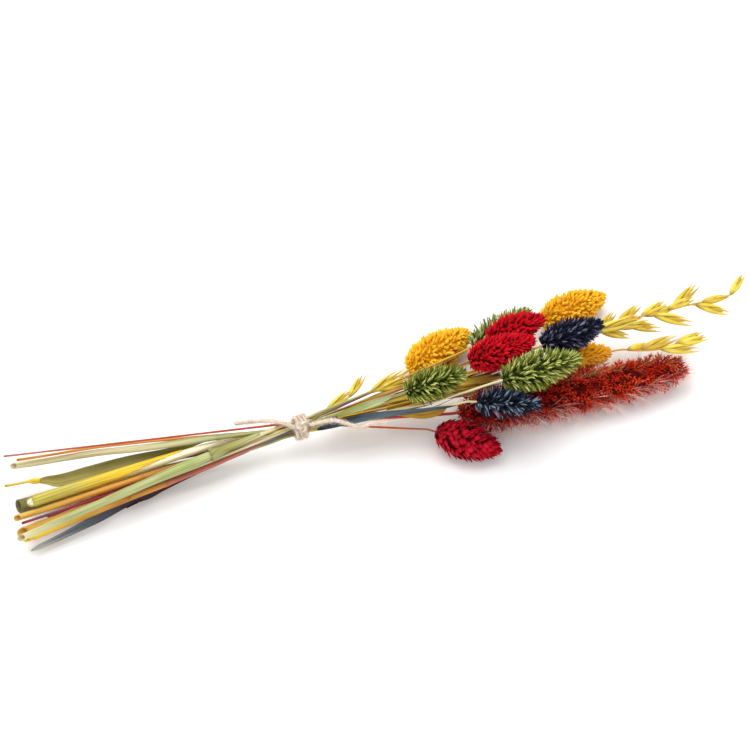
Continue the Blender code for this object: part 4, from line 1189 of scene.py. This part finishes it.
# Oats, in the tie's frame: the same places as in the solids
OATS = {
    "oat_spray_upper": {
        "cut": (-150.6, 10.3, 3.2, 3.6),
        "slant": 0.4,
        "set_in": 0.6,
        # The dark olive by the cut end is painted shadow under the wide straws above it
        "colours": ((0, SHADOW_OLIVE), (14, SHADOW_OLIVE), (40, GOLD), (80, OLIVE), (130, CREAM), (200, GOLD),
                    (330, GOLD)),
        "stalk": ((145.0, -0.5, 22.5), (170.6, -0.2, 25.0), (190.5, -0.4, 26.0),
                  (207.2, -1.5, 27.0), (223.4, -3.8, 28.0), (239.1, -6.0, 29.0)),
        "spikelets": (
            (239.1, (252.4, 4.7, 31.0)),
            (222.9, (239.0, -5.6, 30.0)),
            (219.6, (237.1, -14.6, 26.5)),
            (207.5, (228.1, 8.1, 29.0)),
            (204.4, (221.8, -1.1, 31.0)),
            (196.0, (216.7, -13.2, 25.0)),
            (191.4, (210.5, -0.6, 27.0)),
            (190.0, (208.6, 5.5, 25.0)),
            (176.3, (194.1, 7.0, 27.0)),
            (179.2, (198.5, -12.3, 27.0)),
            (172.0, (191.5, 0.7, 26.0)),
            (165.4, (181.0, 9.9, 22.0)),
            (166.0, (182.6, -7.7, 22.0)),
            (162.5, (186.2, -2.7, 29.5)),
            (171.0, (194.6, -6.6, 29.0)),
        ),
    },
    "oat_spray_lower": {
        "cut": (-152.2, -6.3, 4.0, 2.6),
        "slant": 1.1,
        "set_in": 0.0,
        # The amber from 285 to 325 mm is painted shade where the stalk crosses the amber head
        "colours": ((0, GOLD), (50, ORANGE), (90, BROWN), (130, PALE_GREEN), (200, GOLD), (260, ORANGE),
                    (285, SHADED_AMBER), (325, SHADED_AMBER), (345, GOLD)),
        "stalk": ((143.5, -16.6, 26.0), (170.3, -15.3, 24.6), (179.2, -18.7, 24.9),
                  (189.6, -22.8, 26.0), (200.9, -24.7, 28.0)),
        "spikelets": (
            (200.9, (217.7, -27.0, 30.0)),
            (199.0, (218.1, -21.8, 27.5)),
            (191.0, (211.9, -30.9, 27.5)),
            (181.5, (203.5, -20.8, 29.5)),
            (175.0, (187.1, -17.7, 26.5)),
        ),
    },
}
LOOSE_OATS = {
    "oat_spikelet_low_a": (((16.4, 4.9, 17.2), (34.2, 11.6, 18.8)), ((29.6, 8.0, 17.8), (42.6, 19.4, 18.4))),
    "oat_spikelet_low_b": (((39.1, 1.4, 26.4), (62.2, 8.2, 28.3)), ((42.9, 1.6, 26.2), (63.4, 2.9, 26.3))),
}
HUSK_FACES = np.array((0.0, -0.5, 0.87))
OAT_WIDTH = 3.3
OAT_OPENING = 1.75       # how far half a husk reaches round each way, in radians
OAT_STATIONS = 20
OAT_EDGE = 11            # points across one face of a husk
OAT_SPREAD = 0.11
LOOSE_SCALE = 0.8
GRAIN_WIDTH = 1.9
GOLDEN_SHARE = 0.618
HUSK_WALL = 0.12
STALK_SIDES = 8
STALK_DRAWN = ((0.0, 0.06), (0.004, 0.00045))     # metres along the bunch, and a spray's widest stalk there
SPRAY_JOINTS = (0.24, 0.55)
BRANCH = 5.0             # from where a spikelet's stalk leaves the spray's to where the spikelet starts
BRANCH_RADII = (0.32, 0.42)


def oat_husk(name, base, tip, width, out, finish, tone):
    """Half an oat husk: a thin boat that holds its hollow away from out, ribbed by fine veins."""
    length = np.linalg.norm(tip - base)
    ahead = (tip - base) / length
    out = unit(out - ahead * (out @ ahead))
    side = np.cross(ahead, out)
    angles = np.linspace(-OAT_OPENING, OAT_OPENING, OAT_EDGE)
    rays = np.outer(np.cos(angles), out) + np.outer(np.sin(angles), side)
    veins = 1 + 0.035 * np.cos(np.arange(OAT_EDGE) * math.pi)
    shares = np.linspace(0.0, 1.0, OAT_STATIONS)
    sections = []
    for t in shares:
        fullness = math.sin(math.pi * min(1.0, t / 0.98) ** 0.66) ** 1.05 * (1 - 0.15 * t)
        radius = max(0.05, width / 2 * fullness)
        bow = 0.06 * length * math.sin(math.pi * t)
        middle = base + ahead * length * t + out * (bow - 0.45 * radius)
        outer = middle + rays * (radius * veins)[:, None]
        inner = middle + rays[::-1] * max(0.02, radius - HUSK_WALL)
        sections.append(in_frame(np.concatenate([outer, inner])))
    lines = np.concatenate([angles, angles[::-1]]) / OAT_OPENING
    return loft(name, sections, {"along": shares, "across": np.tile(lines, (OAT_STATIONS, 1)),
                                 "tone": shares * 0 + tone}, finish)


def round_stalk(name, line, radius, values, finish):
    """A thin round shape along a line of the tie's frame."""
    _, side, rise = directions(line)
    out, _ = round_about(side, rise, STALK_SIDES)
    return loft(name, in_frame(line[:, None] + out * radius[:, None, None]), values, finish)


def floret(name, base, tip, width, finish, tone):
    """The closed grain between two husks, which ends in a fine point."""
    line = smooth_line([base, (base + tip) / 2 + (0, 0, 0.3), tip], 1.2)
    share = share_along(line)
    radius = np.maximum(0.05, width / 2 * np.sin(math.pi * np.minimum(share, 0.999) ** 0.7) ** 0.8)
    return round_stalk(name, line, radius, {"along": share, "across": share * 0 + 0.5,
                                            "tone": share * 0 + tone}, finish)


def spikelet(name, base, tip, finish, tone, scale=1.0):
    """Two husks that part towards their tips, with two grains between them. tone says how ripe they are."""
    base, tip = np.array(base), np.array(tip)
    ahead = tip - base
    side = unit(np.cross(ahead, HUSK_FACES)) * np.linalg.norm(ahead) * OAT_SPREAD
    start = base - 0.04 * ahead
    parts = []
    for which, share, short in (("near", 1.0, -0.04), ("far", -1.0, 0.12)):
        point = tip + share * 0.60 * side - short * ahead
        parts.append(oat_husk(f"{name}_{which}", start, point, OAT_WIDTH * scale,
                              side * share + HUSK_FACES * 0.9, finish, tone))
    for which, share, reach in (("grain", 0.25, 0.80), ("late_grain", -0.20, 0.97)):
        parts.append(floret(f"{name}_{which}", base + 0.06 * ahead, base + ahead * reach + share * side,
                            GRAIN_WIDTH * scale, finish, 1.0 - tone))
    return parts


def thread(name, points, radii, finish):
    """A spikelet's stalk through points of the tie's frame, its radius drawn out between the two given."""
    line = smooth_line(points, 1.0)
    share = share_along(line)
    radius = radii[0] + (radii[1] - radii[0]) * share
    return round_stalk(name, line, radius, {"reached": share * 0 + 0.3, "joint": share * 0}, finish)


def on_stalk(stalk, place):
    """The point of a spray's stalk at a place along the bunch."""
    return np.array([np.interp(place, stalk[:, 0], stalk[:, k]) for k in range(3)])


def spray_knots(node, oat, stalk):
    """Middles and radii along a spray's straw, from its cut through its solid's rings to its last husk."""
    rings = ring_line(node)
    cut = np.array(oat["cut"])
    first, last = in_frame(cut[:3])[0] + 12.0 * MM, in_frame(stalk[0])[0] - 2.0 * MM
    rings = rings[(rings[:, 0] > first) & (rings[:, 0] < last)]
    rings[:, 3] = np.minimum(rings[:, 3], np.interp(rings[:, 0], *STALK_DRAWN))
    start = np.append(in_frame(cut[:3] + (oat["set_in"], 0.0, 0.0)), cut[3] * MM)
    far = np.column_stack([in_frame(stalk), np.linspace(rings[-1, 3], 0.4 * MM, len(stalk))])
    return np.concatenate([[start], rings, far])


def build_oats():
    husk = oat_finish()
    for seed, (node, oat) in enumerate(OATS.items()):
        skin = straw_finish(f"{node}_skin", oat["colours"])
        stalk = np.array(oat["stalk"])
        parts = [straw(f"{node}_straw", spray_knots(node, oat, stalk), SPRAY_JOINTS, skin, 40 + seed,
                       oat["slant"])]
        for k, (along, tip) in enumerate(oat["spikelets"]):
            base, root = on_stalk(stalk, along), on_stalk(stalk, along - BRANCH)
            ahead = unit(np.array(tip) - base)
            parts += spikelet(f"{node}_{k}", base + 1.5 * ahead, tip, husk, k * GOLDEN_SHARE % 1.0)
            path = (root, (root + base) / 2 + (0, 0, 0.5), base + 2.0 * ahead)
            parts.append(thread(f"{node}_stalk_{k}", path, BRANCH_RADII, skin))
        declare(joined(f"{node}_husks", parts), "oat", node)
    for node, halves in LOOSE_OATS.items():
        parts = []
        for k, (base, tip) in enumerate(halves):
            parts += spikelet(f"{node}_{k}", base, tip, husk, 0.3, LOOSE_SCALE)
        declare(joined(f"{node}_husks", parts), "oat", node)


build_oats()


# Leaf blades, in the tie's frame: slot, how far it twists, how much paler its front half is, its colours from
# base to tip, and its centre line with its widths
LEAVES = {
    "sage_leaf": ("leaf_sage", 0.5, 0.0,
                  ((0.0, colour(0.26, 0.28, 0.06)), (0.4, colour(0.32, 0.36, 0.12)),
                   (0.7, colour(0.40, 0.46, 0.22)), (1.0, colour(0.44, 0.48, 0.24))),
                  ((18.4, -5.0, 23.8, 2.2), (31.2, -8.9, 31.2, 3.8), (41.4, -11.0, 36.1, 3.2),
                   (48.0, -12.1, 39.5, 1.2))),
    "navy_leaf_upper": ("leaf_navy", 0.6, 0.0,
                        ((0.0, colour(0.010, 0.013, 0.022)), (0.15, colour(0.03, 0.045, 0.060)),
                         (0.35, colour(0.070, 0.105, 0.130)), (0.8, colour(0.085, 0.115, 0.125)),
                         (1.0, colour(0.03, 0.03, 0.035))),
                        ((7.6, -5.8, 17.6, 2.8), (14.7, -7.8, 20.4, 3.6), (32.0, -12.2, 25.6, 4.2),
                         (47.5, -16.9, 29.0, 3.0), (62.1, -22.4, 32.6, 2.2), (76.0, -27.3, 36.2, 1.4))),
    "gold_leaf_low": ("leaf_gold", 0.3, 0.0,
                      ((0.0, colour(0.66, 0.40, 0.03)), (0.6, colour(0.60, 0.32, 0.03)),
                       (1.0, colour(0.42, 0.20, 0.03))),
                      ((47.0, -8.2, 17.0, 1.6), (61.6, -14.3, 16.0, 3.6), (71.2, -15.4, 16.5, 3.2),
                       (78.0, -13.4, 18.0, 1.2))),
    "olive_leaf_mid": ("leaf_olive", 0.3, 0.0,
                       ((0.0, colour(0.56, 0.40, 0.04)), (0.5, colour(0.48, 0.32, 0.035)),
                        (1.0, colour(0.30, 0.16, 0.02))),
                       ((66.3, -8.7, 26.2, 1.4), (80.2, -8.3, 26.2, 3.2), (94.3, -9.1, 26.0, 3.0),
                        (106.1, -9.2, 25.7, 1.2))),
    "olive_leaf_low": ("leaf_olive", 0.2, 0.8,
                       ((0.0, colour(0.34, 0.27, 0.04)), (0.06, colour(0.22, 0.19, 0.045)),
                        (0.5, colour(0.20, 0.18, 0.045)), (1.0, colour(0.16, 0.14, 0.03))),
                       ((-138.4, 15.8, 12.7, 1.6), (-132.5, 14.6, 12.1, 4.4), (-126.3, 12.8, 11.4, 6.4),
                        (-110.6, 12.3, 11.0, 7.4), (-89.5, 11.7, 12.1, 6.2), (-68.2, 10.6, 12.4, 3.8),
                        (-48.0, 9.9, 13.0, 1.6))),
    "navy_leaf_low": ("leaf_navy", 0.3, 0.25,
                      ((0.0, colour(0.40, 0.40, 0.40)), (0.08, colour(0.28, 0.29, 0.30)),
                       (0.20, colour(0.14, 0.18, 0.215)), (0.32, colour(0.085, 0.10, 0.13)),
                       (0.42, colour(0.05, 0.04, 0.06)), (0.55, colour(0.035, 0.024, 0.04)),
                       (0.66, colour(0.09, 0.03, 0.045)), (1.0, colour(0.12, 0.04, 0.05))),
                      ((-151.1, -18.4, 4.0, 2.6), (-135.0, -15.9, 4.6, 3.2), (-115.0, -12.3, 5.4, 4.6),
                       (-97.0, -9.7, 6.9, 2.6), (-85.4, -8.8, 7.6, 3.2), (-75.0, -7.8, 8.5, 1.3),
                       (-52.0, -5.2, 10.7, 0.7), (-28.6, -3.2, 12.2, 0.6))),
}
SCRAP = ((-98.0, -11.4, 6.2, 1.6), (-94.0, -9.6, 6.6, 4.4), (-88.5, -7.0, 7.6, 4.0), (-81.0, -4.4, 8.8, 1.4))
SCRAP_BLACK = colour(0.022, 0.016, 0.026)
BLADE_FACES = np.array((0.0, -0.5, 0.87))
BLADE_WALL = 0.25
BLADE_EDGE = 13          # points across one face of a blade
BLADE_STEP = 1.1
BLADE_ARCH = 0.16        # of its width
THINNEST_BLADE = 0.25
TWIG = ((-153.4, 18.6, 12.2, 0.7), (-147.0, 17.8, 12.2, 0.6), (-141.8, 17.3, 12.3, 0.7),
        (-139.4, 16.6, 12.5, 1.5), (-135.9, 15.5, 12.7, 1.3))


def blade(name, knots, twist, finish, seed, step=BLADE_STEP):
    """A thin dry leaf, arched across and twisted a little, with raised veins and a wavy edge."""
    random = np.random.default_rng(seed)
    line = smooth_line(np.array(knots), step)
    middle, width = line[:, :3], np.maximum(line[:, 3], THINNEST_BLADE)
    share = share_along(middle)
    width = width * np.minimum(1, share / 0.04 + 0.08) ** 0.7
    width = width * np.minimum(1, (1 - share) / 0.12 + 0.03) ** 0.7
    ahead = np.gradient(middle, axis=0)
    side = unit(np.cross(BLADE_FACES, ahead))
    rise = unit(np.cross(ahead, side))
    turn = twist * np.sin(math.pi * (share - 0.5))[:, None]
    side, rise = side * np.cos(turn) + rise * np.sin(turn), rise * np.cos(turn) - side * np.sin(turn)
    across = np.linspace(-1, 1, BLADE_EDGE)
    start = random.uniform(0, 6, 2)
    ripple = 0.05 * np.sin(share * 21 + start[0])[:, None] * across[None] ** 3
    ripple = ripple + 0.04 * np.cos(share * 34 + start[1])[:, None] * across[None] ** 2
    height = width[:, None] * (BLADE_ARCH * across[None] ** 2 + ripple)
    vein = 0.05 * np.cos(np.arange(BLADE_EDGE) * math.pi)[None] + 0.12 * (np.abs(across) < 0.05)[None]
    flat = middle[:, None] + side[:, None] * (across[None] * width[:, None] / 2)[..., None]
    top = flat + rise[:, None] * (height + BLADE_WALL / 2 + vein)[..., None]
    under = flat + rise[:, None] * (height - BLADE_WALL / 2 + vein)[..., None]
    sections = in_frame(np.concatenate([top, under[:, ::-1]], axis=1))
    lines = np.tile(np.concatenate([across, across[::-1]]), (len(share), 1))
    travelled = share * length_of(middle) * MM
    skin = np.stack(np.broadcast_arrays(travelled[:, None], lines * width[:, None] / 2 * MM, 0.0), axis=2)
    return loft(name, sections, {"along": share, "across": lines, "skin": skin + seed * SKIN_APART}, finish)


def build_leaves():
    for seed, (node, (slot, twist, sided, stops, knots)) in enumerate(LEAVES.items()):
        finish = leaf_finish(f"{node}_skin", stops, sided)
        declare(new_piece(f"{node}_blade", blade(f"{node}_blade", knots, twist, finish, seed)), slot, node)
    black = leaf_finish("dark_scrap_skin", ((0.0, SCRAP_BLACK), (1.0, SCRAP_BLACK)))
    declare(new_piece("dark_scrap", blade("dark_scrap", SCRAP, 0.9, black, 61)), "leaf_navy")
    twig = np.array(TWIG)
    knots = np.column_stack([in_frame(twig[:, :3]), twig[:, 3] * MM])
    skin = straw_finish("yellow_twig_skin", ((0, GOLD), (12, YELLOW)))
    declare(new_piece("yellow_twig_straw", straw("yellow_twig_straw", knots, (0.45,), skin, 70)),
            "straw_orange", "yellow_twig")


build_leaves()


# Thin straws between the stems that carry heads: how many keep to the bundle and how many fan out, the slot,
# and their colours
FILLERS = {
    "golden_straws": (9, 9, "straw_orange", ((0, GOLD), (60, YELLOW), (160, GOLD))),
    "brown_straws": (8, 9, "stem_rust", ((0, BROWN), (60, RED_BROWN), (160, RED_BROWN))),
    "green_straws": (5, 2, "straw_green", ((0, PALE_GREEN), (80, CREAM), (160, OLIVE))),
}
FILLER_STATIONS = (-40.0, -20.0, 0.0, 20.0, 45.0, 70.0, 95.0, 120.0)
FILLER_SIDES = 8
# Shreds of husk among them: how many keep to the bundle and how many fan out, and their colours
SHREDS = 11
FAN_SHREDS = 14
SHRED_STOPS = ((0.0, colour(0.40, 0.26, 0.03)), (0.4, colour(0.62, 0.42, 0.05)),
               (0.7, colour(0.34, 0.15, 0.02)), (1.0, colour(0.20, 0.04, 0.01)))
SHRED_TWIST = 0.8
SHRED_STEP = 2.0
# The fan's lower and upper line
FAN = (((44.0, -8.0, 15.0), (63.0, -8.7, 18.0), (80.0, -10.5, 17.0), (106.0, -15.5, 18.0)),
       ((48.0, 0.0, 20.0), (63.0, -1.5, 22.0), (81.0, -4.8, 23.5), (109.0, -5.5, 25.0)))
FAN_STEPS = 7


def bundle_places():
    """At each station along the bunch: the middle of the stems there and how far they spread."""
    lines = [ring_line(node) for node in STEMS]
    places = []
    for station in FILLER_STATIONS:
        x = station * MM + TIE_PLACE[0]
        near = [line for line in lines if line[0, 0] <= x <= line[-1, 0]]
        at = np.array([[np.interp(x, line[:, 0], line[:, k]) for k in (1, 2)] for line in near])
        places.append((x, *at.mean(axis=0), *at.std(axis=0)))
    return np.array(places)


def between_stems(places, k, random, start, end, steps=9):
    """A path through the bundle that keeps its own place among the stems."""
    angle = k * GOLDEN_ANGLE
    out = math.sqrt(random.uniform(0.05, 1.0))
    stations = np.linspace(start, end, steps) * MM + TIE_PLACE[0]
    y, z, broad, tall = (np.interp(stations, places[:, 0], places[:, c]) for c in (1, 2, 3, 4))
    return np.column_stack([stations, y + out * math.cos(angle) * broad, z + out * math.sin(angle) * tall])


def fanned(random):
    """A path from the bundle to the heads in the middle, spread as a fan between two lines."""
    low, high = (np.array(line) for line in FAN)
    share = random.uniform(0.0, 1.0, 2)
    knots = low + (high - low) * np.linspace(*share, len(low))[:, None]
    line = smooth_line(knots, 4.0)
    places = np.linspace(0, len(line) - 1, FAN_STEPS).astype(int)
    return in_frame(line[places])


def drawn_out(thickest, path, start):
    """A thickness at each point of a path, thin at both of its ends."""
    return thickest * np.sin(np.linspace(start, 2.9, len(path)))


def build_fillers():
    random = np.random.default_rng(12)
    places = bundle_places()
    k = 0
    for name, (count, fan_count, slot, stops) in FILLERS.items():
        skin = straw_finish(f"{name}_skin", stops)
        parts = []
        for j in range(count + fan_count):
            fans = j >= count
            if fans:
                path = fanned(random)
            else:
                path = between_stems(places, k, random, random.uniform(-40, -18), random.uniform(58, 88))
            radius = drawn_out(random.uniform(0.35, 0.60 if fans else 0.55) * MM, path, 0.35)
            parts.append(straw(f"{name}_{k}", np.column_stack([path, radius]), (0.5,), skin, 100 + k,
                               sides=FILLER_SIDES))
            k += 1
        declare(joined(name, parts), slot)
    finish = leaf_finish("shred_skin", SHRED_STOPS)
    shreds = []
    for j in range(SHREDS + FAN_SHREDS):
        fans = j >= SHREDS
        if fans:
            path = fanned(random)
        else:
            start = random.uniform(34, 62)
            path = between_stems(places, k + j, random, start, start + random.uniform(28, 48), 6)
        width = drawn_out(random.uniform(1.6, 3.0) if fans else random.uniform(1.4, 2.6), path, 0.3)
        knots = np.column_stack([(path - TIE_PLACE) / MM, width])
        seed = 90 + j - SHREDS if fans else 50 + j
        shreds.append(blade(f"shred_{j}", knots, SHRED_TWIST, finish, seed, SHRED_STEP))
    declare(joined("husk_shreds", shreds), "leaf_gold")


build_fillers()


# Studio: the place of each lamp in metres, its size and its power in watts
LAMPS = {"key": ((0.02, 0.45, 1.32), 1.1, 13.5), "fill": ((-0.8, -0.9, 1.1), 1.2, 3.5)}
FLOOR_SIZE = 6.0
PAPER = colour(0.92, 0.92, 0.92)
PAPER_ROUGHNESS = 0.9
PAPER_GLOSS = 0.1
ROOM_LIGHT = 0.90


def build_studio():
    paper = Finish("paper_floor").finished({}, {"Base Color": PAPER, "Roughness": PAPER_ROUGHNESS,
                                                "Specular IOR Level": PAPER_GLOSS})
    bpy.ops.mesh.primitive_plane_add(size=FLOOR_SIZE, location=(0.0, 0.0, 0.0))
    floor = bpy.context.object
    floor.name = "floor"
    floor.data.materials.append(paper)
    for name, (place, size, power) in LAMPS.items():
        data = bpy.data.lights.new(name, "AREA")
        data.size = size
        data.energy = power
        lamp = bpy.data.objects.new(name, data)
        lamp.location = place
        lamp.rotation_mode = "QUATERNION"
        lamp.rotation_quaternion = (-Vector(place)).to_track_quat("-Z", "Y")
        SCENE.objects.link(lamp)
    world = bpy.data.worlds.new("studio")
    world.use_nodes = True
    room = world.node_tree.nodes["Background"]
    room.inputs["Color"].default_value = colour(1.0, 1.0, 1.0)
    room.inputs["Strength"].default_value = ROOM_LIGHT
    bpy.context.scene.world = world
    # Blender's default view transform would wash the dyes out
    bpy.context.scene.view_settings.view_transform = "Standard"


build_studio()

bpy.context.view_layer.update()
